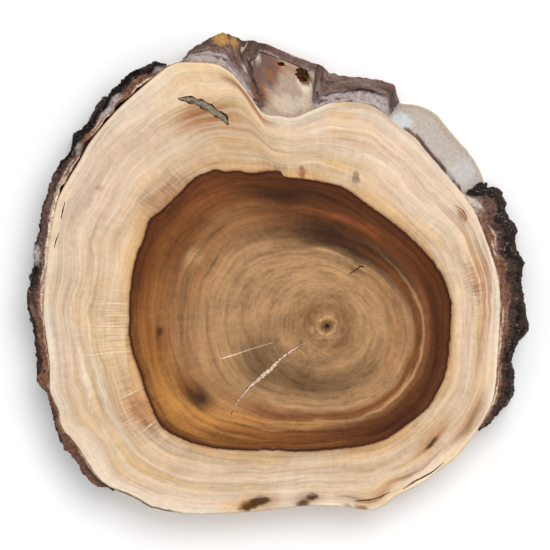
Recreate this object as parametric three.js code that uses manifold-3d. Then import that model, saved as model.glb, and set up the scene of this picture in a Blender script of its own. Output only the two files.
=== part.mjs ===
// A slice sawn straight across a tree stem: pale sapwood round dark heartwood, with what is left of the
// bark in three patches round the edge. Millimetres, +Z up, the sawn face with the deep crack on top.
import * as THREE from "three";
import { mergeVertices } from "three/addons/utils/BufferGeometryUtils.js";
import Module from "manifold-3d";

const wasm = await Module();
wasm.setup();

// Driving dimensions
const THICKNESS = 35; // between the two sawn faces
const CENTRE = [-1.5, -17.4]; // the outline is measured outwards from here
const BARK_CLEARANCE = 0.3; // between the wood and the bark that sits on it
const COLUMN_STEP = 3.8; // spacing of the columns of points round the wood and along the bark

// Stations round the slice, counter-clockwise seen from above, starting in the middle of the lower edge.
// Each is the top rim of the wood, how far the whole slice reaches past that rim at its base, and how
// much of that reach is bark.
const STATIONS = [
  { rim: [-49.5, -145.8], reach: -2, bark: 0 },
  { rim: [-16.5, -144.6], reach: -3, bark: 0 },
  { rim: [16.5, -141], reach: -3, bark: 0 },
  { rim: [40.5, -141.6], reach: -3, bark: 0 },
  { rim: [54.3, -143.4], reach: -2, bark: 0 },
  { rim: [63.3, -141], reach: -2, bark: 0 },
  { rim: [71.1, -135], reach: -3, bark: 0 },
  { rim: [85.5, -127.8], reach: -3, bark: 0 },
  { rim: [98.7, -118.2], reach: -3, bark: 0 },
  { rim: [108.3, -110.4], reach: -2, bark: 0 },
  { rim: [115.5, -101.4], reach: 1, bark: 1 },
  { rim: [120.9, -94.2], reach: 3.5, bark: 3.2 },
  { rim: [127.5, -82.2], reach: 6, bark: 4.5 },
  { rim: [130.5, -71.4], reach: 9.5, bark: 7 },
  { rim: [132.3, -50.4], reach: 11, bark: 7.5 },
  { rim: [133.5, -29.4], reach: 16, bark: 10.5 },
  { rim: [133.5, -11.4], reach: 17, bark: 11 },
  { rim: [131.1, 1.8], reach: 17.5, bark: 11 },
  { rim: [127.5, 12.6], reach: 19, bark: 11.5 },
  { rim: [122.7, 25.8], reach: 21.5, bark: 12 },
  { rim: [117.3, 37.8], reach: 21, bark: 10 },
  { rim: [109.5, 48.6], reach: 20, bark: 3 },
  { rim: [100.5, 59.4], reach: 20, bark: 0 },
  { rim: [91.5, 69.6], reach: 20, bark: 0 },
  { rim: [83.1, 79.8], reach: 20, bark: 0 },
  { rim: [74.7, 85.8], reach: 20, bark: 2 },
  { rim: [67.5, 91.8], reach: 19, bark: 7 },
  { rim: [58.5, 98.4], reach: 19, bark: 7 },
  { rim: [46.5, 101.4], reach: 17.5, bark: 7 },
  { rim: [31.5, 100.8], reach: 19, bark: 6.5 },
  { rim: [19.5, 96], reach: 29, bark: 6 },
  { rim: [10.5, 92.4], reach: 36, bark: 5 },
  { rim: [1.5, 93], reach: 40, bark: 5 },
  { rim: [-9.3, 95.4], reach: 43, bark: 5.5 },
  { rim: [-16.5, 105], reach: 35, bark: 6 },
  { rim: [-20.7, 111], reach: 31, bark: 6 },
  { rim: [-28.5, 120], reach: 25, bark: 6 },
  { rim: [-37.5, 124.2], reach: 17, bark: 5.5 },
  { rim: [-46.5, 125.4], reach: 11, bark: 4.5 },
  { rim: [-58.5, 125.4], reach: 4.5, bark: 3 },
  { rim: [-64.5, 123.6], reach: 5, bark: 3.5 },
  { rim: [-70.5, 119.4], reach: 9.5, bark: 6 },
  { rim: [-81.9, 109.8], reach: 11, bark: 6.5 },
  { rim: [-97.5, 95.4], reach: 11.4, bark: 6.5 },
  { rim: [-112.5, 77.4], reach: 10, bark: 6 },
  { rim: [-118.5, 66.6], reach: 9, bark: 5.5 },
  { rim: [-129.3, 48.6], reach: 7, bark: 5 },
  { rim: [-134.1, 35.4], reach: 6.6, bark: 5 },
  { rim: [-137.1, 18.6], reach: 8, bark: 6 },
  { rim: [-138.9, 0.6], reach: 9, bark: 6.5 },
  { rim: [-140.7, -20.4], reach: 10.2, bark: 7.5 },
  { rim: [-139.5, -35.4], reach: 7.2, bark: 5 },
  { rim: [-137.1, -53.4], reach: 7.8, bark: 5.5 },
  { rim: [-136.8, -64.2], reach: 7.4, bark: 5.5 },
  { rim: [-136.2, -72.6], reach: 2.6, bark: 2.2 },
  { rim: [-131.7, -83.4], reach: 3.5, bark: 3 },
  { rim: [-129.3, -94.2], reach: 4.2, bark: 3.2 },
  { rim: [-122.1, -102.6], reach: 6.4, bark: 5 },
  { rim: [-108.3, -123], reach: 5.6, bark: 4.4 },
  { rim: [-99.3, -130.2], reach: 1.6, bark: 1.4 },
  { rim: [-87.3, -135.6], reach: -1, bark: 0 },
  { rim: [-76.5, -141.6], reach: -1, bark: 0 },
  { rim: [-63.3, -144.6], reach: -1.5, bark: 0 },
];

// The old branch hollow, where the bark is gone from the upper wall and only a low lip of it is left.
const HOLLOW = { from: 29.4, full: 30.1, fullTo: 33.0, to: 33.9, lip: 0.34, curve: 1.25 };

// The stretch where the bark has come away from the wood and leaves an open gap.
const LOOSE_BARK = { from: 41.2, to: 46.6, gap: 2.2 };

// The bark patches, from one station to another. Knobs are the lumps and furrows of the surface.
const BARK_PATCHES = [
  {
    name: "bark_right", from: 10.4, to: 21.1, seed: 11,
    knob: { width: 9, height: 19, share: 0.42 }, colour: "#5b4436", roughness: 0.92,
  },
  {
    name: "bark_top", from: 25.75, to: 39.35, seed: 23,
    knob: { width: 19, height: 16, share: 0.22 }, colour: "#7b6258", roughness: 0.8,
  },
  {
    name: "bark_left", from: 39.75, to: 59.4, seed: 37,
    knob: { width: 8.5, height: 17, share: 0.5 }, colour: "#463a30", roughness: 0.95,
  },
];
const PATCH_END = { length: 7, thin: 0.35 }; // a patch thins to this share over its last millimetres
const PATCH_LEAST = 0.9; // the thinnest that bark gets
const BARK_ROOT = 2; // how far inside the wood a patch's inner face starts before it is cut back
const SWELLING = { scale: 2, share: 0.3 }; // broad swellings under the knobs: their size and their part

// The wide seasoning crack in the top face: points of its middle line and its width at each.
const CRACK = {
  depth: 9,
  floorShare: 0.25, // of the width at the face
  line: [
    [14.7, -44.4, 0.7],
    [7.5, -48.6, 1.2],
    [-4.5, -59.4, 1.7],
    [-14.1, -67.2, 1.9],
    [-21.3, -73.8, 1.3],
    [-26.1, -81.6, 0.7],
  ],
};

// The slot where a strip of bark grew in and rotted out: its middle line and width, in the top face.
const SLOT = {
  depth: 6,
  floorShare: 0.6,
  line: [
    [-59.7, 103.4, 1.2],
    [-53.5, 103, 4.6],
    [-45.5, 100.5, 5.2],
    [-38.5, 96.2, 5],
    [-32, 91.6, 4.6],
    [-29.5, 87.6, 1.4],
  ],
};

// The small soft hole at the middle of the rings, narrower at its floor.
const PITH = { at: [29.7, -33], radius: 1.8, floorRadius: 0.9, depth: 2.5, sides: 10 };

// Rotted pits in the hollow's wall: middle, and half sizes along x, y and z.
const PITS = [
  { at: [15.3, 117.6, 14], half: [4.4, 5, 4.4] },
  { at: [2.4, 124.2, 12.5], half: [3.4, 3, 3.2] },
];

const WOOD_FINISH = { colour: "#cdae88", roughness: 0.72 };

const LEVELS = [0, 0.17, 0.34, 0.5, 0.67, 0.84, 1]; // shares of the height, up the wall and the bark
const CUT_OVERSHOOT = 1; // how far above the top face a cut starts
const SAMPLES_PER_STATION = 24; // points at which the rim's length is measured
const MERGE_WITHIN = 1e-4; // corners nearer than this are one

const smoothstep = (low, high, x) => THREE.MathUtils.smoothstep(x, low, high);

// A fixed pseudo-random value from 0 to 1 for a whole-number grid point.
function gridValue(column, row, seed) {
  let h = Math.imul(column, 374761393) + Math.imul(row, 668265263) + Math.imul(seed, 974634777);
  h = Math.imul(h ^ (h >>> 13), 1274126177);
  return ((h ^ (h >>> 16)) >>> 0) / 2 ** 32;
}

// Smooth noise from -1 to 1: grid values blended by an S-curve between the four nearest grid points.
function noise(x, y, seed) {
  const column = Math.floor(x);
  const row = Math.floor(y);
  const along = smoothstep(0, 1, x - column);
  const up = smoothstep(0, 1, y - row);
  const lower = THREE.MathUtils.lerp(gridValue(column, row, seed), gridValue(column + 1, row, seed), along);
  const upper = THREE.MathUtils.lerp(
    gridValue(column, row + 1, seed), gridValue(column + 1, row + 1, seed), along);
  return 2 * THREE.MathUtils.lerp(lower, upper, up) - 1;
}

// The lumps of the bark, from -1 to 1: knobs of the given size, on broader swellings.
function lump(along, z, { width, height }, seed) {
  const knobs = noise(along / width, z / height, seed);
  const swellings = noise(along / (SWELLING.scale * width), z / (SWELLING.scale * height), seed + 1);
  return THREE.MathUtils.lerp(knobs, swellings, SWELLING.share);
}

// Closed curves through the stations: one for the rim, with the reach as its third number, and one for
// the bark. Both take a station number, which may lie between two stations.
const rimCurve = new THREE.CatmullRomCurve3(
  STATIONS.map((s) => new THREE.Vector3(s.rim[0], s.rim[1], s.reach)), true, "catmullrom", 0.5);
const barkCurve = new THREE.CatmullRomCurve3(
  STATIONS.map((s) => new THREE.Vector3(s.bark, 0, 0)), true, "catmullrom", 0.5);
const turn = (station) => (((station / STATIONS.length) % 1) + 1) % 1;
const rimAt = (station) => rimCurve.getPoint(turn(station));
const barkAt = (station) => Math.max(0, barkCurve.getPoint(turn(station)).x);

// How much of the hollow there is at a station, from 0 to 1.
const hollowAt = (station) =>
  smoothstep(HOLLOW.from, HOLLOW.full, station) - smoothstep(HOLLOW.fullTo, HOLLOW.to, station);

// How wide the open gap behind the loose bark is at a station.
function gapAt(station) {
  const { from, to, gap } = LOOSE_BARK;
  return gap * smoothstep(from, from + 1, station) * (1 - smoothstep(to - 1, to, station));
}

// The space between wood and bark at a station.
const spaceAt = (station) => BARK_CLEARANCE + gapAt(station);

// How far the wood stands out past its top rim at a height. It leans out in a straight slope down to the
// base, or in the hollow in a scooped slope that ends on an upright lip.
function woodReach(station, z) {
  const hollow = hollowAt(station);
  const flare = rimAt(station).z - barkAt(station) - (barkAt(station) > 0 ? spaceAt(station) : 0);
  const down = Math.min(1, (1 - z / THICKNESS) / (1 - HOLLOW.lip * hollow));
  return flare * down ** (1 + (HOLLOW.curve - 1) * hollow);
}

// The point that stands out past the top rim by some distance, away from the centre, at a height.
function pointOut(station, distance, z) {
  const rim = rimAt(station);
  const away = new THREE.Vector2(rim.x - CENTRE[0], rim.y - CENTRE[1]).normalize();
  return [rim.x + away.x * distance, rim.y + away.y * distance, z];
}

// Columns all the way round, evenly spaced along the rim by about the given step: the station number of
// each and its distance along the rim. Wood and bark share them, so that their faces lie side by side.
function spacedColumns(step) {
  const fine = SAMPLES_PER_STATION * STATIONS.length;
  const lengths = [0];
  for (let i = 1; i <= fine; i++) {
    const a = rimAt(((i - 1) * STATIONS.length) / fine);
    const b = rimAt((i * STATIONS.length) / fine);
    lengths.push(lengths[i - 1] + Math.hypot(b.x - a.x, b.y - a.y));
  }
  const count = Math.round(lengths[fine] / step);
  const columns = [];
  let i = 0;
  for (let k = 0; k < count; k++) {
    const along = (lengths[fine] * k) / count;
    while (lengths[i + 1] < along) i++;
    const share = (along - lengths[i]) / (lengths[i + 1] - lengths[i]);
    columns.push({ station: ((i + share) * STATIONS.length) / fine, along });
  }
  return columns;
}
const COLUMNS = spacedColumns(COLUMN_STEP);

// A geometry from corner points and triangles, turned so that its faces point out.
function closedGeometry(points, triangles) {
  let volume = 0;
  for (const [a, b, c] of triangles) {
    const cross = new THREE.Vector3(...points[b]).cross(new THREE.Vector3(...points[c]));
    volume += new THREE.Vector3(...points[a]).dot(cross);
  }
  const index = triangles.flatMap(([a, b, c]) => (volume > 0 ? [a, b, c] : [a, c, b]));
  const geometry = new THREE.BufferGeometry();
  geometry.setAttribute("position", new THREE.Float32BufferAttribute(points.flat(), 3));
  geometry.setIndex(index);
  return geometry;
}

// Two triangles for the four-sided face a, b, c, d.
const quad = (a, b, c, d) => [[a, b, c], [a, c, d]];

function solidFrom(geometry) {
  const bare = geometry.clone();
  bare.deleteAttribute("normal");
  bare.deleteAttribute("uv");
  const merged = mergeVertices(bare, MERGE_WITHIN);
  return new wasm.Manifold(new wasm.Mesh({
    numProp: 3,
    vertProperties: new Float32Array(merged.attributes.position.array),
    triVerts: new Uint32Array(merged.index.array),
  }));
}

function geometryFrom(solid) {
  const { numProp, vertProperties, triVerts } = solid.getMesh();
  const count = vertProperties.length / numProp;
  const positions = new Float32Array(count * 3);
  for (let i = 0; i < count; i++)
    positions.set(vertProperties.subarray(i * numProp, i * numProp + 3), i * 3);
  const geometry = new THREE.BufferGeometry();
  geometry.setAttribute("position", new THREE.BufferAttribute(positions, 3));
  geometry.setIndex(new THREE.BufferAttribute(new Uint32Array(triVerts), 1));
  return geometry;
}

// The disc of wood without its cuts, closed by a fan on both sawn faces: rings of wall points at each
// level, which stand out a given distance more than the wood itself does.
function discGeometry(extraAt) {
  const around = COLUMNS.length;
  const points = LEVELS.flatMap((level) =>
    COLUMNS.map(({ station }) => {
      const z = level * THICKNESS;
      return pointOut(station, woodReach(station, z) + extraAt(station), z);
    }));
  const triangles = [];
  for (let row = 0; row < LEVELS.length - 1; row++)
    for (let i = 0; i < around; i++) {
      const next = (i + 1) % around;
      const low = row * around;
      triangles.push(...quad(low + i, low + next, low + around + next, low + around + i));
    }
  const top = (LEVELS.length - 1) * around;
  const bottomMiddle = points.push([...CENTRE, 0]) - 1;
  const topMiddle = points.push([...CENTRE, THICKNESS]) - 1;
  for (let i = 0; i < around; i++) {
    const next = (i + 1) % around;
    triangles.push([bottomMiddle, next, i], [topMiddle, top + i, top + next]);
  }
  return closedGeometry(points, triangles);
}

// A groove cut down from the top face, with at each point of its line a floor narrower than its mouth.
function grooveGeometry({ line, depth, floorShare }) {
  const points = line.flatMap(([x, y, width], i) => {
    const before = line[Math.max(0, i - 1)];
    const after = line[Math.min(line.length - 1, i + 1)];
    const side = new THREE.Vector2(before[1] - after[1], after[0] - before[0]).normalize();
    const corner = (half, z) => [x + side.x * half, y + side.y * half, z];
    const half = width / 2;
    const floor = half * floorShare;
    return [
      corner(half, THICKNESS + CUT_OVERSHOOT), corner(-half, THICKNESS + CUT_OVERSHOOT),
      corner(-floor, THICKNESS - depth), corner(floor, THICKNESS - depth),
    ];
  });
  const triangles = [];
  for (let i = 0; i < line.length - 1; i++)
    for (let k = 0; k < 4; k++) {
      const next = (k + 1) % 4;
      triangles.push(...quad(4 * i + k, 4 * i + next, 4 * i + 4 + next, 4 * i + 4 + k));
    }
  const last = 4 * (line.length - 1);
  triangles.push(...quad(3, 2, 1, 0), ...quad(last, last + 1, last + 2, last + 3));
  return closedGeometry(points, triangles);
}

function pithGeometry() {
  const height = PITH.depth + CUT_OVERSHOOT;
  const geometry = new THREE.CylinderGeometry(PITH.radius, PITH.floorRadius, height, PITH.sides);
  geometry.rotateX(Math.PI / 2);
  geometry.translate(PITH.at[0], PITH.at[1], THICKNESS - PITH.depth + height / 2);
  return geometry;
}

function pitGeometry({ at, half }) {
  const geometry = new THREE.IcosahedronGeometry(1, 1);
  geometry.scale(...half);
  geometry.translate(...at);
  return geometry;
}

function woodGeometry() {
  const cuts = [grooveGeometry(CRACK), grooveGeometry(SLOT), pithGeometry(), ...PITS.map(pitGeometry)];
  const disc = solidFrom(discGeometry(() => 0));
  return geometryFrom(cuts.reduce((wood, cut) => wood.subtract(solidFrom(cut)), disc));
}

// One patch of bark: a band with lumps and upright furrows outside. Its inner face starts inside the wood
// and is then cut back to just off the wood's wall. In the hollow it covers only the lip.
function barkGeometry({ from, to, knob, seed }) {
  const columns = COLUMNS.filter(({ station }) => station >= from && station <= to);
  const first = columns[0].along;
  const last = columns.at(-1).along;
  const rows = LEVELS.length;
  const points = columns.flatMap(({ station, along }) => {
    const top = THICKNESS * (1 - (1 - HOLLOW.lip) * hollowAt(station));
    const fromEnd = Math.min(along - first, last - along) / PATCH_END.length;
    const taper = THREE.MathUtils.lerp(PATCH_END.thin, 1, smoothstep(0, 1, fromEnd));
    const inner = [];
    const outer = [];
    for (const level of LEVELS) {
      const z = level * top;
      const wall = woodReach(station, z) + spaceAt(station);
      const swell = 1 + knob.share * lump(along, z, knob, seed);
      const thick = Math.max(PATCH_LEAST, barkAt(station) * taper * swell);
      inner.push(pointOut(station, wall - BARK_ROOT, z));
      outer.push(pointOut(station, wall + thick, z));
    }
    return [...inner, ...outer];
  });
  const ring = 2 * rows;
  const triangles = [];
  for (let c = 0; c < columns.length - 1; c++) {
    const here = c * ring;
    const there = here + ring;
    for (let r = 0; r < rows - 1; r++) {
      triangles.push(...quad(here + r, here + r + 1, there + r + 1, there + r));
      triangles.push(...quad(here + rows + r, there + rows + r, there + rows + r + 1, here + rows + r + 1));
    }
    triangles.push(...quad(here, there, there + rows, here + rows));
    triangles.push(...quad(here + rows - 1, here + ring - 1, there + ring - 1, there + rows - 1));
  }
  const end = (columns.length - 1) * ring;
  for (let r = 0; r < rows - 1; r++) {
    triangles.push(...quad(r, rows + r, rows + r + 1, r + 1));
    triangles.push(...quad(end + r, end + r + 1, end + rows + r + 1, end + rows + r));
  }
  const band = solidFrom(closedGeometry(points, triangles));
  return geometryFrom(band.subtract(solidFrom(discGeometry(spaceAt))));
}

function pieceMesh(name, geometry, { colour, roughness }) {
  const material = new THREE.MeshStandardMaterial({ color: colour, roughness, metalness: 0 });
  const mesh = new THREE.Mesh(geometry, material);
  mesh.name = name;
  return mesh;
}

const slice = new THREE.Group();
slice.add(pieceMesh("wood", woodGeometry(), WOOD_FINISH));
for (const patch of BARK_PATCHES) slice.add(pieceMesh(patch.name, barkGeometry(patch), patch));

// The origin is under the middle of the whole slice, on the surface that it lies on.
const middle = new THREE.Box3().setFromObject(slice).getCenter(new THREE.Vector3());
slice.position.set(-middle.x, -middle.y, 0);

export default slice;
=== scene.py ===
"""A wood slice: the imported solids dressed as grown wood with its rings, checks and stains, and rough bark.

Positions in lists are millimetres in the drawing that the part was measured in: x to the right and y up
across the slice seen from above. centred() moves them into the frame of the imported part.
"""
import math

import bmesh
import bpy
import numpy as np
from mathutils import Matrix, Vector


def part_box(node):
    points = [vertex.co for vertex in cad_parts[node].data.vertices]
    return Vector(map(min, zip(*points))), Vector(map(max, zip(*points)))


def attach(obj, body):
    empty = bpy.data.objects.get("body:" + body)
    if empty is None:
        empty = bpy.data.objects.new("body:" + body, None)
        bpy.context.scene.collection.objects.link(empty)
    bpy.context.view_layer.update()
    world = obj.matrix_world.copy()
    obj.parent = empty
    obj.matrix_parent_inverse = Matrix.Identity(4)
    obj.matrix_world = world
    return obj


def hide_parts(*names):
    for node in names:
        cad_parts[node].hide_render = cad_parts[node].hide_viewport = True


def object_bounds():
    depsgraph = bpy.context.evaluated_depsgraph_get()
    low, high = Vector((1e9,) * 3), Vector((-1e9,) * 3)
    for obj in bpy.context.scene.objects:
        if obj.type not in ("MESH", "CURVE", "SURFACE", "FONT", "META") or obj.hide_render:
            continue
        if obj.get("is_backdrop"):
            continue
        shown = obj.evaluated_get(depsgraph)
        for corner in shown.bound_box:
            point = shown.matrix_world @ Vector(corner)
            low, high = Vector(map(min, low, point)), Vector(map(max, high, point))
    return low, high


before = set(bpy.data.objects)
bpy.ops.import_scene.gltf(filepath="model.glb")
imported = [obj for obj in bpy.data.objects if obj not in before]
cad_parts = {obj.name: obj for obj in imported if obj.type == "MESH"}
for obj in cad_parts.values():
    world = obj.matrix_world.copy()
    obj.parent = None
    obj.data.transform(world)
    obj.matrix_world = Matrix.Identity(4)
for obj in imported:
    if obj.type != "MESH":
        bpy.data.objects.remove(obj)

bl_info = {
    "name": "Wood Slice",
    "version": (1, 0, 0),
    "blender": (4, 5, 0),
    "location": "3D View > Sidebar > Wood Slice",
    "description": "Builds a slice of a tree stem with procedural end grain and bark",
    "category": "Add Mesh",
}

MM = 0.001
CAD_LOW, CAD_HIGH = (np.array(corner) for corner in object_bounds())
THICKNESS = (CAD_HIGH[2] - CAD_LOW[2]) / MM

# From the part's source: the point that the rim stands out from, the pith, the space between wood and
# bark, the step between the solids' columns, and the points at which the rim's length is measured.
CENTRE = (-1.5, -17.4)
PITH = (29.7, -33.0)
BARK_CLEARANCE = 0.3
CAD_COLUMN_STEP = 3.8
SAMPLES_PER_STATION = 24

# The stations of the part's source: counter-clockwise from the middle of the lower edge, each with the
# top rim's x and y, how far the slice reaches past the rim at its base, and how much of that is bark.
STATIONS = np.array([
    (-49.5, -145.8, -2, 0), (-16.5, -144.6, -3, 0), (16.5, -141, -3, 0), (40.5, -141.6, -3, 0),
    (54.3, -143.4, -2, 0), (63.3, -141, -2, 0), (71.1, -135, -3, 0), (85.5, -127.8, -3, 0),
    (98.7, -118.2, -3, 0), (108.3, -110.4, -2, 0), (115.5, -101.4, 1, 1), (120.9, -94.2, 3.5, 3.2),
    (127.5, -82.2, 6, 4.5), (130.5, -71.4, 9.5, 7), (132.3, -50.4, 11, 7.5), (133.5, -29.4, 16, 10.5),
    (133.5, -11.4, 17, 11), (131.1, 1.8, 17.5, 11), (127.5, 12.6, 19, 11.5), (122.7, 25.8, 21.5, 12),
    (117.3, 37.8, 21, 10), (109.5, 48.6, 20, 3), (100.5, 59.4, 20, 0), (91.5, 69.6, 20, 0),
    (83.1, 79.8, 20, 0), (74.7, 85.8, 20, 2), (67.5, 91.8, 19, 7), (58.5, 98.4, 19, 7),
    (46.5, 101.4, 17.5, 7), (31.5, 100.8, 19, 6.5), (19.5, 96, 29, 6), (10.5, 92.4, 36, 5),
    (1.5, 93, 40, 5), (-9.3, 95.4, 43, 5.5), (-16.5, 105, 35, 6), (-20.7, 111, 31, 6),
    (-28.5, 120, 25, 6), (-37.5, 124.2, 17, 5.5), (-46.5, 125.4, 11, 4.5), (-58.5, 125.4, 4.5, 3),
    (-64.5, 123.6, 5, 3.5), (-70.5, 119.4, 9.5, 6), (-81.9, 109.8, 11, 6.5), (-97.5, 95.4, 11.4, 6.5),
    (-112.5, 77.4, 10, 6), (-118.5, 66.6, 9, 5.5), (-129.3, 48.6, 7, 5), (-134.1, 35.4, 6.6, 5),
    (-137.1, 18.6, 8, 6), (-138.9, 0.6, 9, 6.5), (-140.7, -20.4, 10.2, 7.5), (-139.5, -35.4, 7.2, 5),
    (-137.1, -53.4, 7.8, 5.5), (-136.8, -64.2, 7.4, 5.5), (-136.2, -72.6, 2.6, 2.2), (-131.7, -83.4, 3.5, 3),
    (-129.3, -94.2, 4.2, 3.2), (-122.1, -102.6, 6.4, 5), (-108.3, -123, 5.6, 4.4), (-99.3, -130.2, 1.6, 1.4),
    (-87.3, -135.6, -1, 0), (-76.5, -141.6, -1, 0), (-63.3, -144.6, -1.5, 0),
])
# The branch hollow: the stations where it starts, is full, stops being full and ends; the height of its
# lip as a share of the thickness; how its slope curves; and over how many stations noise moves its edges,
# up and down the wall (jagged) and along the rim (crooked).
HOLLOW = {"from": 29.4, "full": 30.1, "full_to": 33.0, "to": 33.9, "lip": 0.34, "curve": 1.25, "jagged": 0.4,
          "crooked": 0.8}
# The crooked side: how far before and after the hollow's edge the push sets in, in stations; the noise's
# size outwards and upwards; and how far past the rim the push starts to fade and ends.
CROOKED = {"outer": 0.9, "inner": 0.1, "out_mm": 11, "up_mm": 16, "fades": 24, "ends": 39}
# The size, up the wall, of the noise that jags the hollow's edges.
JAG_MM = 4.5
# The stretch where the bark has come away from the wood, in stations, and the width of the gap.
LOOSE_BARK = {"from": 41.2, "to": 46.6, "gap": 2.2}

# The edge of the dark heartwood, and one ring inside it, as points of closed curves.
HEART_EDGE = [
    (-37.5, 60.6), (-49.5, 55.8), (-58.5, 46.8), (-67.5, 37.8), (-76.5, 30.6), (-80.7, 18.6),
    (-85.5, 5.4), (-88.5, -15.6), (-88.5, -41.4), (-83.1, -59.4), (-77.7, -76.2), (-70.5, -91.8),
    (-59.7, -99.6), (-40.5, -105.6), (-22.5, -107.4), (-4.5, -107.4), (13.5, -108), (34.5, -106.8),
    (56.1, -103.5), (68.7, -98.4), (86.4, -85.2), (94.5, -75), (101.7, -56.4), (104.1, -23.4),
    (103.5, -15.6), (99.3, -4.2), (91.5, 7.8), (74.7, 24.6), (52.5, 40.8), (38.7, 50.4),
    (19.5, 54.6), (4.5, 56.4), (0.3, 60), (-16.5, 58.8), (-22.5, 60), (-30.9, 59.4),
]
INNER_RING = [
    (-38.7, -34.2), (-33.3, -8.4), (-19.5, 7.8), (4.5, 14.4), (31.5, 13.2), (63.3, -3.6),
    (78.3, -30.6), (73.5, -56.4), (58.5, -74.4), (33.3, -82.2), (7.5, -80.4), (-19.5, -70.2),
    (-34.5, -53.4),
]
# Growth, in millimetres of an average radius, at the inner ring, the heartwood's edge and the rim.
GROWTH_INNER, GROWTH_HEART, GROWTH_RIM = 52.0, 92.0, 137.0
# The turns over which the heartwood's edge is averaged, and the step along a closed curve, in its points.
SMOOTHING_TURNS = np.linspace(-0.25, 0.25, 11)
CONTOUR_STEP = 0.05
# How the rings wander: the size of the broad and the fine waves, and their height in heartwood and sapwood.
WANDER = {"broad_mm": 21, "fine_mm": 8, "heart": 1.1, "sap": 2.1}

# Colour names: hex value and what it is.
PALETTE = {
    "core": ("#8d6946", "Heartwood close round the pith"),
    "tan": ("#a27c57", "Pale middle of the heartwood"),
    "olive": ("#61462b", "Dull patch below the pith"),
    "toffee": ("#8e6541", "Middle heartwood on the wide side"),
    "umber": ("#6a3c1b", "Brown outer heartwood"),
    "russet": ("#4f2812", "Red-brown outer heartwood"),
    "darkest": ("#27150c", "Nearly black streaks in the heartwood"),
    "ember": ("#84492a", "Orange-brown streak in the dark heartwood"),
    "gold": ("#c88f4c", "Golden heartwood"),
    "orange": ("#8b5a2d", "Orange-brown heartwood"),
    "biscuit": ("#b88f62", "Pale arcs in the heartwood"),
    "edge": ("#381809", "Thin dark line between heartwood and sapwood"),
    "honey": ("#bc9467", "Sapwood next to the heartwood"),
    "sapwood": ("#c4a583", "Sapwood"),
    "pinkish": ("#ceb49d", "Pinkish sapwood"),
    "cream": ("#ddccb6", "Youngest sapwood under the bark"),
    "yellow": ("#d5b077", "Yellow sapwood of the old branch"),
    "rust": ("#96592f", "Rusty stains in the sapwood"),
    "smudge": ("#472d11", "Brown bruises in the sapwood"),
    "fibre": ("#e7cab0", "Torn pale fibres in the checks"),
    # Dirt, with painted shade, that darkens the insides of slits, pits and the hollow.
    "grime": ("#3a2412", "Dirt in slits and hollows"),
    "weathered": ("#b4a89e", "Weathered bare side wood"),
    "bare": ("#a98a66", "Bare side wood"),
    "bleached": ("#c6c8c8", "Bleached side wood"),
    "hollow": ("#a8927f", "Wood in the branch hollow"),
    "rot": ("#6d472b", "Rotten wood in the pits"),
    "decayed": ("#978b78", "Decayed bark in the slot"),
    "bark_inner": ("#7c5540", "Reddish inner bark"),
    # The rough bark's near-black and brown; on its furrows and knobs they also serve as painted shade and
    # painted light.
    "bark_black": ("#181411", "Furrows of the rough bark"),
    "bark_brown": ("#463731", "Knobs of the rough bark"),
    # Pale grey of the bark's specks: painted highlights, and dry scales.
    "bark_grey_highlight": ("#958a86", "Dry pale scales on the bark"),
    "plum": ("#6c524a", "Smooth bark"),
    "lilac": ("#a29491", "Worn face of the smooth bark"),
    "lichen": ("#b08448", "Orange lichen"),
    # Pale grey lichen on the bark, also used as a painted highlight along the smooth bark's rim.
    "pale_lichen_and_highlight": ("#aaa09c", "Pale grey lichen"),
    "floor": ("#fafafa", "Floor"),
}


def linear(hex_colour):
    """A "#rrggbb" sRGB colour as three linear values."""
    srgb = np.array([int(hex_colour[i:i + 2], 16) / 255 for i in (1, 3, 5)])
    return tuple(np.where(srgb <= 0.04045, srgb / 12.92, ((srgb + 0.055) / 1.055) ** 2.4))


def millimetres(name, description, value):
    """A length that a user would change, given in millimetres."""
    return bpy.props.FloatProperty(
        name=name, description=description, default=value * MM, min=0, unit="LENGTH", precision=5)


class WoodSliceSizes(bpy.types.PropertyGroup):
    """The sizes that a user would change."""

    ring_width: millimetres("Ring width", "Average width of a year's ring", 5.4)
    fine_ring_width: millimetres("Fine ring width", "Width of the thin bands inside a ring", 1.7)
    arris: millimetres("Worn arris", "How far the top rim is worn down", 0.35)
    wall_relief: millimetres("Wall relief", "Depth of the flutes in the bare side wood", 0.5)
    crumb_relief: millimetres("Crumb relief", "Height of the crumbs of the rough bark", 2.0)
    broken_edge: millimetres("Broken edge", "How far the bark's top edge is broken down", 2.6)


class WoodSliceColours(bpy.types.PropertyGroup):
    """The colours that a user would change, one for each name in the palette."""

    __annotations__ = {
        name: bpy.props.FloatVectorProperty(
            name=name.replace("_", " ").capitalize(), description=words, default=linear(value),
            subtype="COLOR", size=3, min=0, max=1)
        for name, (value, words) in PALETTE.items()
    }


def colour(name):
    """A palette colour as the user has set it, linear."""
    return np.array(getattr(bpy.context.scene.wood_slice_colours, name))


def smoothstep(low, high, x):
    """An S-curve from 0 at the low value to 1 at the high one, flat at both ends."""
    t = np.clip((x - low) / (high - low), 0, 1)
    return t * t * (3 - 2 * t)


# The multipliers with which the part's source mixes the whole numbers of a grid point.
MIX_COLUMN, MIX_ROW, MIX_SEED, MIX_AGAIN = 374761393, 668265263, 974634777, 1274126177
LOW_BITS = 0xFFFFFFFF


def grid_value(column, row, seed):
    """A fixed pseudo-random value from 0 to 1 for a whole-number grid point, the same as in the part."""
    mixed = column.astype(np.int64) * MIX_COLUMN + row.astype(np.int64) * MIX_ROW + seed * MIX_SEED
    mixed &= LOW_BITS
    mixed = ((mixed ^ (mixed >> 13)) * MIX_AGAIN) & LOW_BITS
    return (mixed ^ (mixed >> 16)) / 2 ** 32


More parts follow.
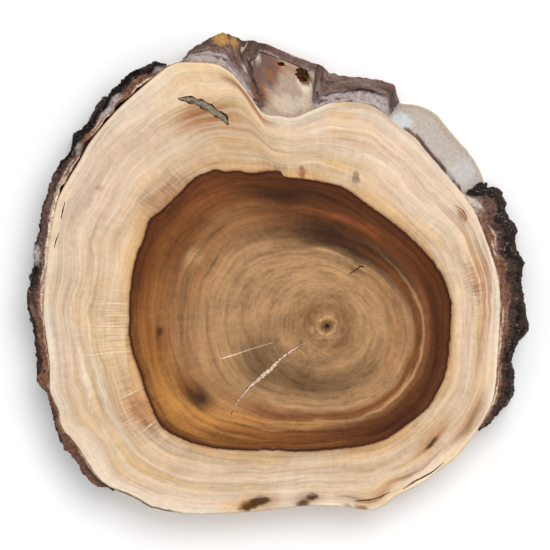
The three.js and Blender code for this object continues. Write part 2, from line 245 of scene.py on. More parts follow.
def noise(x, y, seed):
    """Smooth noise from -1 to 1: grid values blended by an S-curve between the four nearest points."""
    column, row = np.floor(x), np.floor(y)
    along, up = smoothstep(0, 1, x - column), smoothstep(0, 1, y - row)
    lower = grid_value(column, row, seed) * (1 - along) + grid_value(column + 1, row, seed) * along
    upper = grid_value(column, row + 1, seed) * (1 - along) + grid_value(column + 1, row + 1, seed) * along
    return 2 * (lower * (1 - up) + upper * up) - 1


def rough(x, y, seed, octaves=3):
    """Layers of noise, each of half the size and half the height of the one before, from -1 to 1."""
    total = sum(noise(x * 2 ** k, y * 2 ** k, seed + k) / 2 ** k for k in range(octaves))
    return total / (2 - 2 ** (1 - octaves))


def through(values, station):
    """A closed Catmull-Rom curve through rows of values, at station numbers that may lie between rows."""
    values = np.asarray(values, float)
    first = np.floor(station).astype(int)
    t = (station - first)[..., None]
    before, here, after, later = (values[(first + k) % len(values)] for k in (-1, 0, 1, 2))
    start, end = (after - before) / 2, (later - here) / 2
    square = 3 * (after - here) - 2 * start - end
    cube = 2 * (here - after) + start + end
    return here + t * (start + t * (square + t * cube))


def hollow_at(station):
    """How much of the branch hollow there is at a station, from 0 to 1."""
    rise = smoothstep(HOLLOW["from"], HOLLOW["full"], station)
    return rise - smoothstep(HOLLOW["full_to"], HOLLOW["to"], station)


def space_at(station):
    """The space between wood and bark: a fixed clearance, and the open gap behind the loose bark."""
    start, end = LOOSE_BARK["from"], LOOSE_BARK["to"]
    open_part = smoothstep(start, start + 1, station) * (1 - smoothstep(end - 1, end, station))
    return BARK_CLEARANCE + LOOSE_BARK["gap"] * open_part


def bark_at(station):
    """How thick the bark is at a station, before its lumps."""
    return np.maximum(0, through(STATIONS[:, 3:], station)[..., 0])


def wood_reach(station, z):
    """How far the wood stands out past its rim at a height: a straight slope down to the base, or in the
    hollow a scooped slope that ends on an upright lip. Noise moves the hollow's edges to and fro."""
    torn = station + HOLLOW["jagged"] * noise(z / JAG_MM, station * 2, 77)
    hollow, bark = hollow_at(torn), bark_at(station)
    flare = through(STATIONS[:, 2:3], station)[..., 0] - bark - np.where(bark > 0, space_at(station), 0)
    down = np.minimum(1, (1 - z / THICKNESS) / (1 - HOLLOW["lip"] * hollow))
    return flare * down ** (1 + (HOLLOW["curve"] - 1) * hollow)


def point_out(station, distance, z):
    """The point that stands out past the rim by a distance, away from the centre, at a height. Wood and
    bark at the hollow's torn side are pushed to and fro along the rim together, by noise over the wall."""
    start, end = HOLLOW["full_to"], HOLLOW["to"]
    outer, inner = CROOKED["outer"], CROOKED["inner"]
    torn_side = smoothstep(start - outer, start - inner, station)
    torn_side = torn_side - smoothstep(end + inner, end + outer, station)
    waves = rough(distance / CROOKED["out_mm"], z / CROOKED["up_mm"], 78)
    pushed = HOLLOW["crooked"] * torn_side * waves * smoothstep(CROOKED["ends"], CROOKED["fades"], distance)
    rim = through(STATIONS[:, :2], station + pushed)
    away = rim - CENTRE
    away /= np.linalg.norm(away, axis=-1, keepdims=True)
    return np.concatenate([rim + away * distance[..., None], z[..., None]], axis=-1)


def rim_lengths():
    """Station numbers at fine steps round the rim, and the distance along the rim at each."""
    stations = np.arange(SAMPLES_PER_STATION * len(STATIONS) + 1) / SAMPLES_PER_STATION
    steps = np.linalg.norm(np.diff(through(STATIONS[:, :2], stations), axis=0), axis=1)
    return stations, np.concatenate([[0], np.cumsum(steps)])


FINE_STATIONS, FINE_LENGTHS = rim_lengths()
RIM_LENGTH = FINE_LENGTHS[-1]


def station_of(along):
    """The station number at a distance along the rim."""
    return np.interp(along, FINE_LENGTHS, FINE_STATIONS)


def frame_shift():
    """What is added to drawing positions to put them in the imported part's frame, from the wood's box."""
    stations = station_of(np.arange(0, RIM_LENGTH, CAD_COLUMN_STEP / 4))
    base = point_out(stations, wood_reach(stations, 0 * stations), 0 * stations)
    rim = point_out(stations, 0 * stations, 0 * stations)
    outline = np.concatenate([base, rim])[:, :2]
    low, high = (np.array(corner)[:2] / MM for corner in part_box("wood"))
    return (low + high - outline.min(0) - outline.max(0)) / 2


SHIFT = frame_shift()


def centred(points):
    """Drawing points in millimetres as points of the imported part's frame in metres, inside its box."""
    points = np.array(points, float)
    points[..., :2] += SHIFT
    return np.clip(points * MM, CAD_LOW, CAD_HIGH)


def drawing_positions(mesh):
    """A finished mesh's vertices back in drawing millimetres."""
    flat = np.empty(3 * len(mesh.vertices), np.float32)
    mesh.vertices.foreach_get("co", flat)
    points = flat.reshape(-1, 3).astype(float) / MM
    points[:, :2] -= SHIFT
    return points


def store(mesh, name, values):
    """Keeps one number or one colour for each vertex."""
    values = np.asarray(values, np.float32)
    if values.ndim == 1:
        mesh.attributes.new(name, "FLOAT", "POINT").data.foreach_set("value", values)
    else:
        values = np.concatenate([values, np.ones((len(values), 1), np.float32)], axis=1)
        mesh.attributes.new(name, "FLOAT_COLOR", "POINT").data.foreach_set("color", values.ravel())


def strip_faces(rows, columns, closed):
    """Four-sided faces between neighbouring rows and columns of a grid, round the back if it is closed."""
    row = np.arange(rows - 1)[:, None] * columns
    column = np.arange(columns if closed else columns - 1)[None, :]
    after = (column + 1) % columns
    faces = np.stack([row + column, row + after, row + columns + after, row + columns + column], axis=-1)
    return faces.reshape(-1, 4)


def polar(points):
    """Angle and distance of points about the pith."""
    away = np.asarray(points)[..., :2] - PITH
    return np.arctan2(away[..., 1], away[..., 0]), np.hypot(away[..., 0], away[..., 1])


def contour_radius(contour, angle):
    """Distance from the pith to a closed curve through points, in each direction."""
    stations = np.arange(0, len(contour), CONTOUR_STEP)
    angles, radii = polar(through(contour, stations))
    order = np.argsort(angles)
    return np.interp(angle, angles[order], radii[order], period=2 * math.pi)


def smoothed_radius(contour, angle):
    """The distance to a closed curve, averaged over directions on both sides so that its steps go."""
    return np.mean([contour_radius(contour, angle + turn) for turn in SMOOTHING_TURNS], axis=0)


def outside_heart(points):
    """How many millimetres points lie outside the heartwood's edge, less than zero within it."""
    angle, radius = polar(points)
    return radius - contour_radius(HEART_EDGE, angle)


def ring_place(points):
    """Where points lie in the growth of the stem: their growth, and their angle and distance from the pith.
    Growth is 0 at the pith, and the named growths at the inner ring, near the heartwood's edge and at the
    rim, with even steps between them along each direction. Broad noise makes the rings wander."""
    points = np.asarray(points, float)
    angle, radius = polar(points)
    inner = contour_radius(INNER_RING, angle)
    heart = smoothed_radius(HEART_EDGE, angle)
    rim = contour_radius(STATIONS[:, :2], angle)
    shaped = smoothstep(0, 1, radius / inner)
    core = radius * (1 - shaped) + GROWTH_INNER * radius / inner * shaped
    middle = GROWTH_INNER + (GROWTH_HEART - GROWTH_INNER) * (radius - inner) / (heart - inner)
    outer = GROWTH_HEART + (GROWTH_RIM - GROWTH_HEART) * (radius - heart) / (rim - heart)
    growth = np.where(radius < inner, core, np.where(radius < heart, middle, outer))
    x, y = points[..., 0], points[..., 1]
    broad, fine = WANDER["broad_mm"], WANDER["fine_mm"]
    wander = noise(x / broad, y / broad, 31) + 0.4 * noise(x / fine, y / fine, 32)
    heart_part = smoothstep(12, 40, growth) * smoothstep(GROWTH_HEART + 2, GROWTH_HEART - 12, growth)
    sap_part = smoothstep(GROWTH_HEART - 4, GROWTH_HEART + 10, growth) * (
        1 - smoothstep(GROWTH_RIM - 9, GROWTH_RIM, growth))
    height = WANDER["heart"] * heart_part + WANDER["sap"] * sap_part
    growth = np.minimum(growth + wander * height, GROWTH_RIM + 12)
    return growth, angle, radius


# Colours from the pith out to the rim, by growth.
GROWTH_COLOURS = [
    (0, "smudge"), (2.4, "olive"), (4.2, "core"), (5.3, "biscuit"), (6.6, "core"), (8, "tan"), (9.6, "core"),
    (13, "core"), (26, "tan"), (52, "tan"), (70, "toffee"), (84, "orange"), (89, "umber"), (91.5, "russet"),
    (92.8, "rust"), (94.5, "honey"), (100, "sapwood"), (118, "sapwood"), (130, "pinkish"), (136, "cream"),
    (149, "cream"),
]

# Stains: x, y, half length along the rings, half width across them, colour and strength. A ring of one
# colour is a stain that is long and narrow.
STAINS = [
    (45, 30, 75, 17, "russet", 0.9), (-18, 44, 60, 14, "umber", 0.75), (12, 49, 42, 8, "darkest", 0.7),
    (40, 17, 38, 9, "darkest", 0.97), (74, -4, 26, 7, "darkest", 0.6), (2, 42, 18, 4, "darkest", 0.6),
    (31, 34, 15, 2.6, "ember", 0.95), (56, 24, 14, 2.2, "ember", 0.7), (84, 6, 24, 2.5, "ember", 0.5),
    (-34, 26, 26, 6, "toffee", 0.7), (-46, 47, 13, 6, "ember", 0.45), (-76, 22, 40, 6, "russet", 0.75),
    (-62, 16, 26, 5, "umber", 0.7), (-78, -56, 34, 8, "orange", 0.8), (-50, -88, 30, 8, "gold", 0.95),
    (-2, -91, 34, 3, "gold", 0.5), (-26, -102, 40, 2, "umber", 0.8), (10, -100, 60, 4, "umber", 0.9),
    (14, -97, 46, 1, "russet", 0.8), (64, -90, 44, 9, "russet", 0.9), (97, -36, 60, 9, "russet", 0.97),
    (83.5, -32, 60, 3, "umber", 0.9), (88, 6, 30, 6, "russet", 0.8), (60, -80, 40, 3.5, "umber", 0.8),
    (16, -88, 40, 4, "umber", 0.8), (79, -66, 62, 1.2, "biscuit", 0.8), (91, -30, 40, 1.1, "ember", 0.7),
    (8, -64, 34, 10, "olive", 0.8), (-14, -56, 16, 10, "olive", 0.55), (40, -68, 24, 6, "olive", 0.6),
    (-36, -20, 40, 14, "tan", 0.4), (-51, 8, 6, 3, "biscuit", 0.8), (-56, -70, 14, 5, "umber", 0.75),
    (-70, -40, 8, 4, "umber", 0.6), (36, 9, 26, 1.1, "biscuit", 0.9), (48, 0.6, 5, 2, "olive", 0.8),
    (72, -34, 34, 6, "toffee", 0.8), (74, -90, 26, 6, "russet", 0.9), (20, -25, 8, 5, "umber", 0.3),
    (38, -25, 6, 4, "umber", 0.4), (40, -44, 7, 3, "umber", 0.3), (-48, 106, 26, 14, "yellow", 0.45),
    (-24, 84, 14, 4, "rust", 0.4), (112, -12, 60, 8, "pinkish", 0.4), (-90, 6, 46, 4, "yellow", 0.4),
    (-66, 46, 22, 7, "ember", 0.55), (-84, -85, 14, 9, "rust", 0.6), (-20, 106, 9, 3, "orange", 0.85),
    (125.5, 4, 22, 1.0, "rust", 0.95), (-45, 93, 16, 5, "rust", 0.95), (110, 36, 5, 3, "rust", 0.9),
    (124, 15, 16, 1.3, "rust", 0.8), (119, -6, 12, 1.2, "rust", 0.7), (127, -8, 34, 1.0, "rust", 0.7),
    (122.5, -20, 26, 0.9, "orange", 0.5), (118, -86, 13, 5, "orange", 0.75),
    (93, -102, 12, 6, "rust", 0.7), (-12, -139, 11, 6, "orange", 0.6), (18, -137, 8, 5, "orange", 0.6),
    (114, -95, 12, 1.4, "smudge", 0.4), (110, -96, 10, 2, "rust", 0.6), (56, -137, 14, 1.5, "rust", 0.7),
    (84, -121, 22, 1.6, "rust", 0.6), (-6, 72, 44, 6, "honey", 0.5), (30, 80, 50, 4, "honey", 0.5),
    (70, 60, 60, 7, "cream", 0.4), (60, 96, 20, 3, "honey", 0.5), (0, -122, 80, 5, "honey", 0.35),
    (90, -94, 30, 7, "honey", 0.15), (99, 40, 30, 1.3, "rust", 0.3), (-104, 58, 34, 16, "pinkish", 0.9),
    (92, 50, 40, 15, "pinkish", 0.9), (-112, -89, 26, 9, "sapwood", 0.8),
    (12, -122, 60, 7, "pinkish", 0.45), (130, 10, 30, 1.4, "rust", 0.95),
    (121, -2, 40, 1.0, "rust", 0.75), (116, -9, 26, 1.1, "orange", 0.6),
    (124.4, -14, 36, 0.9, "rust", 0.8), (126.5, 2, 30, 0.9, "cream", 0.8),
    (-108, -60, 95, 0.9, "cream", 0.8), (-119, -58, 80, 0.8, "cream", 0.7),
    (60, 92, 60, 0.9, "cream", 0.7), (64, 76, 50, 0.9, "cream", 0.6), (76, -86, 60, 0.9, "darkest", 0.65),
    (20, -103, 60, 0.8, "darkest", 0.5), (95, -50, 46, 0.8, "darkest", 0.5),
    (-30, -97, 30, 0.7, "russet", 0.6), (-48, -77, 9, 5, "darkest", 0.7),
    (-60, -112, 40, 4, "pinkish", 0.5),
]
# Bruises with a sharp ragged edge, listed in the same way.
BRUISES = [
    (-46, -76.5, 5, 1.8, "darkest", 0.6), (-70.5, -36.6, 3, 1.5, "darkest", 0.7),
    (14.7, 59.4, 2.2, 4, "ember", 0.8), (47, 56.4, 2.4, 3, "smudge", 0.6),
    (-107, 49.8, 1.9, 1.4, "rust", 0.4), (92.5, -103, 6, 3.2, "orange", 0.8),
    (92.5, -103, 4.4, 2.2, "grime", 0.8), (-17.5, -140.8, 5.5, 4.6, "orange", 0.9),
    (-16.6, -141.4, 4.4, 3.6, "smudge", 0.9), (-11, -138, 6, 3.2, "smudge", 0.95),
    (15.5, -139.6, 4, 4, "smudge", 0.9), (20.6, -135.4, 4, 2.8, "smudge", 0.95),
    (50, -142, 4.5, 2, "orange", 0.9), (42, -140.4, 3, 1.4, "smudge", 0.5),
    (-80, -139.6, 20, 1.1, "smudge", 0.9), (111, 33, 5, 2.4, "rust", 0.95),
    (118, -7, 9, 1.5, "rust", 0.5), (-16, 101, 4, 4.5, "rust", 0.5),
]
# Where medullary rays show as fine streaks across the rings: x, y, half length along the rings, half width
# across them and strength.
RAY_PATCHES = [
    (-99.3, -35, 20, 11, 1.0), (-82, -86, 20, 10, 1.3), (-67.5, 45.6, 22, 7, 1.2), (4.5, 61, 18, 4, 0.8),
    (118.5, -8.4, 16, 6, 1.5), (-40, 10, 20, 16, 0.25), (90, -90, 30, 8, 0.3),
]


def blend(base, over, share):
    """Rows of colour mixed towards another colour by a share for each row."""
    return base + (np.asarray(over) - base) * share[:, None]


def banded(bands, at):
    """Colours at places along a list of stops and colour names, blended between neighbours."""
    stops = [stop for stop, _ in bands]
    shades = np.array([colour(name) for _, name in bands])
    return np.stack([np.interp(at, stops, shades[:, k]) for k in range(3)], axis=1)


def ring_distance(place, middle, along, across, wander=0):
    """Squared distance from the middle of an oval bent along the rings, 1 at its edge."""
    growth, angle, radius = place
    middle_growth, middle_angle, _ = ring_place([middle])
    turn = np.abs((angle - middle_angle + math.pi) % (2 * math.pi) - math.pi)
    return (turn * radius / along) ** 2 + ((growth + wander - middle_growth) / across) ** 2


def wood_tint(points, place):
    """The wood's colour at points: bands by growth, with yellow and cream blotches in the sapwood, then
    each stain as a soft oval bent along the rings, with its edges drawn out into streaks by noise that is
    fine across the rings and slow along them, then the bruises with sharper edges. Heartwood and sapwood
    keep to their own bands on each side of the edge."""
    growth, angle, _ = place
    wander = 1.6 * noise(angle * 3 + 20, growth / 5, 3) + 1.1 * noise(angle * 9 + 60, growth / 1.9, 4)
    wander *= smoothstep(0, 12, growth)
    outside = outside_heart(points)
    heartwood = np.minimum(growth + wander, GROWTH_HEART - 1)
    sapwood = np.maximum(growth + 0.5 * wander, GROWTH_HEART + 1 + np.clip(outside, 0, 3))
    shifted = np.where(outside < 0, heartwood, sapwood)
    tint = banded(GROWTH_COLOURS, shifted)
    blotch = rough(angle * 4 + 40, growth / 7, 51) * (outside > 0)
    tint = blend(tint, colour("yellow"), 0.45 * smoothstep(0.0, 0.5, blotch))
    tint = blend(tint, colour("cream"), 0.3 * smoothstep(0.0, -0.5, blotch))
    for x, y, along, across, name, strength in STAINS:
        apart = ring_distance(place, (x, y), along, across, wander)
        same_side = (outside < 0) == (outside_heart((x, y)) < 0)
        tint = blend(tint, colour(name), same_side * strength * np.exp(-0.8 * apart ** 1.3))
    ragged = 0.6 * rough(points[:, 0] / 2.6, points[:, 1] / 2.6, 44)
    for x, y, along, across, name, strength in BRUISES:
        apart = ring_distance(place, (x, y), along, across) + ragged
        tint = blend(tint, colour(name), strength * smoothstep(1.35, 0.45, apart))
    return tint


def ray_strength(place):
    """How strongly the medullary rays show."""
    patches = [strength * np.exp(-ring_distance(place, (x, y), along, across))
               for x, y, along, across, strength in RAY_PATCHES]
    return np.max(patches, axis=0)


# A point is on the side wall where its growth is this near the rim's, and this far from the sawn faces.
WALL_NEAR_RIM, WALL_ABOVE_BASE, WALL_BELOW_TOP = 6, 0.02, 0.3


def on_side(points):
    """Which points lie on the side wall, and not on a sawn face or inside a cut."""
    outside = ring_place(points)[0] > GROWTH_RIM - WALL_NEAR_RIM
    return outside & (points[:, 2] > WALL_ABOVE_BASE) & (points[:, 2] < THICKNESS - WALL_BELOW_TOP)


def station_at(points):
    """The station that points of the wall belong to, by their direction from the centre."""
    away = points[:, :2] - CENTRE
    rim = through(STATIONS[:, :2], FINE_STATIONS[:-1]) - CENTRE
    turn = np.unwrap(np.arctan2(rim[:, 1], rim[:, 0]))
    angle = np.arctan2(away[:, 1], away[:, 0])
    angle = turn[0] + (angle - turn[0]) % (2 * math.pi)
    return np.interp(angle, turn, FINE_STATIONS[:-1])


# Patches of colour on the bare side wood: station, half length in stations, height, half height, colour
# and strength.
SIDE_STAINS = [
    (23.5, 3.6, 24, 46, "weathered", 1.0), (23.6, 2.6, 1, 6, "hollow", 0.5),
    (25.3, 0.7, 27, 10, "bleached", 0.9), (22.9, 2.1, 33.6, 3.6, "plum", 1.0),
    (22.3, 1.6, 34, 2.2, "bark_brown", 0.9), (39.55, 1.0, 17, 46, "plum", 0.9),
    (0, 9, 34, 3, "rust", 0.35), (60.5, 2.4, 30, 8, "bark_brown", 0.6),
    (21.6, 0.5, 20, 16, "bleached", 0.4), (31.6, 2.2, 24, 30, "hollow", 1.0),
    (31.4, 1.0, 28, 4, "cream", 0.4), (30.3, 0.4, 22, 12, "cream", 0.4),
    (33.3, 0.45, 24, 14, "plum", 0.9), (32.9, 0.25, 27, 4, "bark_inner", 0.9),
    (32.9, 0.2, 20, 2, "rust", 0.7), (32.6, 0.6, 13.5, 3.4, "plum", 0.8),
    (32.2, 0.35, 15, 1.6, "rust", 0.8), (31.5, 0.4, 14.2, 1.2, "rust", 0.5),
    (32.8, 0.55, 16, 8, "plum", 0.85), (33.1, 0.16, 13, 3, "cream", 0.7),
    (32.5, 0.2, 18, 1.6, "rust", 0.8), (32.8, 0.16, 24, 2.2, "rust", 0.8),
    (33.0, 0.14, 30, 2.4, "rot", 0.8), (32.4, 0.12, 21, 1.2, "plum", 0.8),
    (30.5, 0.55, 16.5, 5, "cream", 0.8), (30.6, 0.4, 15.5, 3.4, "rot", 0.95),
    (31.0, 0.2, 12.5, 1.5, "grime", 0.8),
]


def side_tint(points):
    """The bare side wood's colour: sapwood with the listed patches, whose edges noise makes jagged."""
    station, height = station_at(points), points[:, 2]
    along = np.interp(station, FINE_STATIONS, FINE_LENGTHS)
    tint = np.tile(colour("bare"), (len(points), 1))
    jagged = rough(along / 2.4, height / 4, 71, 4)
    for at, spread, level, half, name, strength in SIDE_STAINS:
        apart = ((station - at) / spread) ** 2 + ((height - level) / half) ** 2
        tint = blend(tint, colour(name), strength * smoothstep(1.25, 0.75, apart + 0.8 * jagged))
    return tint


# Sockets of a colour Mix node: its share, its two colours and its result.
SHARE, UNDER, OVER, RESULT = 0, 6, 7, 2


def add(tree, kind, inputs=None, stops=None, **settings):
    """Adds one node: its settings, its inputs as values or as sockets to link from, its ramp's stops."""
    node = tree.nodes.new(kind)
    for name, value in settings.items():
        setattr(node, name, value)
    for key, value in (inputs or {}).items():
        if isinstance(value, bpy.types.NodeSocket):
            tree.links.new(value, node.inputs[key])
        else:
            node.inputs[key].default_value = value
    for k, (place, shade) in enumerate(stops or []):
        ramp = node.color_ramp
        stop = ramp.elements[k] if k < len(ramp.elements) else ramp.elements.new(place)
        stop.position = place
        stop.color = (*shade, 1) if np.ndim(shade) else (shade, shade, shade, 1)
    return node


def new_material(name):
    """An empty node material and its tree."""
    material = bpy.data.materials.new(name)
    material.use_nodes = True
    material.node_tree.nodes.clear()
    return material, material.node_tree


def finish_material(tree, base, roughness, height, bump_mm, bump_strength=0.6, specular=0.08):
    """The last nodes of a material: a bump of a real height, the shader and the output."""
    bump = add(tree, "ShaderNodeBump", {
        "Height": height, "Distance": bump_mm * MM, "Strength": bump_strength})
    shader = add(tree, "ShaderNodeBsdfPrincipled", {
        "Base Color": base, "Roughness": roughness, "Specular IOR Level": specular,
        "Normal": bump.outputs[0]})
    add(tree, "ShaderNodeOutputMaterial", {"Surface": shader.outputs[0]})


def ring_coordinates(tree, around, across_mm):
    """A noise vector that turns slowly round the pith and changes over some millimetres of growth."""
    position = add(tree, "ShaderNodeTexCoord").outputs["Object"]
    pith = (*(np.array(PITH) + SHIFT) * MM, 0)
    away = add(tree, "ShaderNodeVectorMath", {0: position, 1: pith}, operation="SUBTRACT")
    flat = add(tree, "ShaderNodeVectorMath", {0: away.outputs[0], 1: (1, 1, 0)}, operation="MULTIPLY")
    turned = add(tree, "ShaderNodeVectorMath", {0: flat.outputs[0]}, operation="NORMALIZE")
    wide = add(tree, "ShaderNodeVectorMath", {0: turned.outputs[0], "Scale": around}, operation="SCALE")
    growth = add(tree, "ShaderNodeAttribute", attribute_name="growth").outputs["Fac"]
    outward = add(tree, "ShaderNodeMath", {0: growth, 1: across_mm}, operation="DIVIDE")
    up = add(tree, "ShaderNodeCombineXYZ", {"Z": outward.outputs[0]})
    return add(tree, "ShaderNodeVectorMath", {0: wide.outputs[0], 1: up.outputs[0]}).outputs[0]


def ring_noise(tree, around, across_mm, detail, roughness):
    """Noise bent along the rings."""
    return add(tree, "ShaderNodeTexNoise", {
        "Vector": ring_coordinates(tree, around, across_mm), "Scale": 1, "Detail": detail,
        "Roughness": roughness}).outputs[0]


def place_noise(tree, size_mm, detail, roughness):
    """Noise with patches of one size in all directions."""
    position = add(tree, "ShaderNodeTexCoord").outputs["Object"]
    return add(tree, "ShaderNodeTexNoise", {
        "Vector": position, "Scale": 1 / (size_mm * MM), "Detail": detail, "Roughness": roughness}).outputs[0]


# How much more red, green and blue the orange-brown streaks of the heartwood have than the wood round
# them, the pitch of the saw's marks, what the Wave node's scale is divided by for it, and how far noise
# moves the dark line at the heartwood's edge.
EMBER_GAIN = (1.45, 1.22, 1.0)
SAW_PITCH_MM = 2.4
WAVES_IN_A_UNIT = 6.28
EDGE_WOBBLE_MM = 2.8


def end_grain(name, contrast, saw_marks):
    """Fruitwood cut across the grain. The tint carries the broad colours. Each year's ring gets darker
    outwards and ends in a dark line, which breaks off here and there; thin bands, rays and mottles vary
    the brightness; streaks of cream in the sapwood and of orange-brown in the heartwood follow the rings;
    and a dark wavy double line parts the two."""
    sizes = bpy.context.scene.wood_slice_sizes
    material, tree = new_material(name)
    tint = add(tree, "ShaderNodeAttribute", attribute_name="tint").outputs["Color"]
    growth = add(tree, "ShaderNodeAttribute", attribute_name="growth").outputs["Fac"]
    ray = add(tree, "ShaderNodeAttribute", attribute_name="ray").outputs["Fac"]
    outside = add(tree, "ShaderNodeAttribute", attribute_name="outside_heart").outputs["Fac"]
    heart = add(tree, "ShaderNodeMapRange", {"Value": outside, "From Min": 1, "From Max": -2}).outputs[0]

    years = add(tree, "ShaderNodeMath", {0: growth, 1: sizes.ring_width / MM}, operation="DIVIDE")
    waved = add(tree, "ShaderNodeMath", {
        0: ring_noise(tree, 1.6, 9, 3, 0.55), 1: 2.6, 2: years.outputs[0]}, operation="MULTIPLY_ADD")
    year = add(tree, "ShaderNodeMath", {0: waved.outputs[0]}, operation="FRACT")
    ring = add(tree, "ShaderNodeValToRGB", {0: year.outputs[0]}, stops=[
        (0.0, 0.62), (0.12, 0.56), (0.5, 0.51), (0.8, 0.45), (0.93, 0.36), (1.0, 0.6)]).outputs[0]

    # Each layer's source and its share: rings, thin bands, broad bands, fine rays, then mottles of three
    # sizes.
    layers = [
        (ring, 0.65),
        (ring_noise(tree, 2.6, sizes.fine_ring_width / MM, 6, 0.7), 1.0),
        (ring_noise(tree, 1.3, 8, 3, 0.55), 1.0),
        (ring_noise(tree, 42, 30, 3, 0.6), 0.25),
        (place_noise(tree, 17, 3, 0.6), 0.5),
        (place_noise(tree, 3.2, 3, 0.6), 0.42),
        (place_noise(tree, 0.7, 2, 0.6), 0.3),
    ]
    layered = None
    for source, share in layers:
        middle_zero = add(tree, "ShaderNodeMath", {0: source, 1: 0.5}, operation="SUBTRACT").outputs[0]
        scaled = add(tree, "ShaderNodeMath", {0: middle_zero, 1: share * contrast}, operation="MULTIPLY")
        if layered is None:
            layered = scaled.outputs[0]
        else:
            layered = add(tree, "ShaderNodeMath", {0: layered, 1: scaled.outputs[0]}).outputs[0]
    feather = add(tree, "ShaderNodeMapRange", {
        "Value": ring_noise(tree, 105, 11, 3, 0.6), "From Min": 0.36, "From Max": 0.64, "To Min": -0.3,
        "To Max": 0.3}).outputs[0]
    layered = add(tree, "ShaderNodeMath", {
        0: feather, 1: ray, 2: layered}, operation="MULTIPLY_ADD").outputs[0]
    depth = add(tree, "ShaderNodeMapRange", {"Value": heart, "To Min": 0.8, "To Max": 1.25}).outputs[0]
    brightness = add(tree, "ShaderNodeMath", {0: layered, 1: depth, 2: 1.0}, operation="MULTIPLY_ADD")
    shade = add(tree, "ShaderNodeVectorMath", {0: tint, "Scale": brightness.outputs[0]}, operation="SCALE")

    streak = add(tree, "ShaderNodeValToRGB", {0: ring_noise(tree, 1.9, 2.4, 5, 0.65)}, stops=[
        (0.5, 0.0), (0.6, 0.75)]).outputs[0]
    outwards = add(tree, "ShaderNodeMath", {0: growth, 1: GROWTH_RIM}, operation="DIVIDE").outputs[0]
    streaked = add(tree, "ShaderNodeValToRGB", {0: outwards}, stops=[
        (0.36, 0.0), (0.46, 0.6), (0.64, 0.7), (0.67, 0.1), (0.74, 0.2), (0.8, 0.4)]).outputs[0]
    share = add(tree, "ShaderNodeMath", {0: streak, 1: streaked}, operation="MULTIPLY").outputs[0]
    ember = add(tree, "ShaderNodeVectorMath", {0: tint, 1: EMBER_GAIN}, operation="MULTIPLY").outputs[0]
    accent = add(tree, "ShaderNodeMix", {
        SHARE: heart, UNDER: (*colour("cream"), 1), OVER: ember}, data_type="RGBA").outputs[RESULT]
    accented = add(tree, "ShaderNodeMix", {
        SHARE: share, UNDER: shade.outputs[0], OVER: accent}, data_type="RGBA")

    wobble = add(tree, "ShaderNodeMath", {
        0: ring_noise(tree, 16, 1000, 5, 0.65), 1: 0.5}, operation="SUBTRACT")
    wavy = add(tree, "ShaderNodeMath", {
        0: wobble.outputs[0], 1: EDGE_WOBBLE_MM, 2: outside}, operation="MULTIPLY_ADD")
    edge_place = add(tree, "ShaderNodeMapRange", {
        "Value": wavy.outputs[0], "From Min": -8, "From Max": 4}).outputs[0]
    edge_share = add(tree, "ShaderNodeValToRGB", {0: edge_place}, stops=[
        (0.0, 0.0), (0.22, 0.05), (0.28, 0.5), (0.33, 0.1), (0.5, 0.2), (0.6, 0.9), (0.66, 0.95),
        (0.71, 0.25), (0.86, 0.0)])
    edged = add(tree, "ShaderNodeMix", {
        SHARE: edge_share.outputs[0], UNDER: accented.outputs[RESULT],
        OVER: (*colour("edge"), 1)}, data_type="RGBA")

    height = layered
    if saw_marks:
        strokes = add(tree, "ShaderNodeTexWave", {
            "Vector": add(tree, "ShaderNodeTexCoord").outputs["Object"],
            "Scale": 1 / (SAW_PITCH_MM * MM) / WAVES_IN_A_UNIT,
            "Distortion": 1.5, "Detail": 1}, bands_direction="X")
        joined = add(tree, "ShaderNodeMath", {
            0: strokes.outputs[1], 1: 0.6, 2: height}, operation="MULTIPLY_ADD")
        height = joined.outputs[0]
    finish_material(tree, edged.outputs[RESULT], 0.62, height, 0.25 if saw_marks else 0.12)
    return material


def plain_rough(name, light, dark, grain_mm, bump_mm, light_from=0.3, light_to=0.62, roughness=0.85):
    """Two colours mixed by noise of a real grain size, with a bump: torn fibre, dirt with painted shade in
    slits, rot.
    """
    material, tree = new_material(name)
    position = add(tree, "ShaderNodeTexCoord").outputs["Object"]
    patches = add(tree, "ShaderNodeTexNoise", {
        "Vector": position, "Scale": 1 / (grain_mm * MM), "Detail": 5, "Roughness": 0.65})
    share = add(tree, "ShaderNodeValToRGB", {0: patches.outputs[0]}, stops=[
        (light_from, colour(dark)), (light_to, colour(light))])
    finish_material(tree, share.outputs[0], roughness, patches.outputs[0], bump_mm, 0.8)
    return material


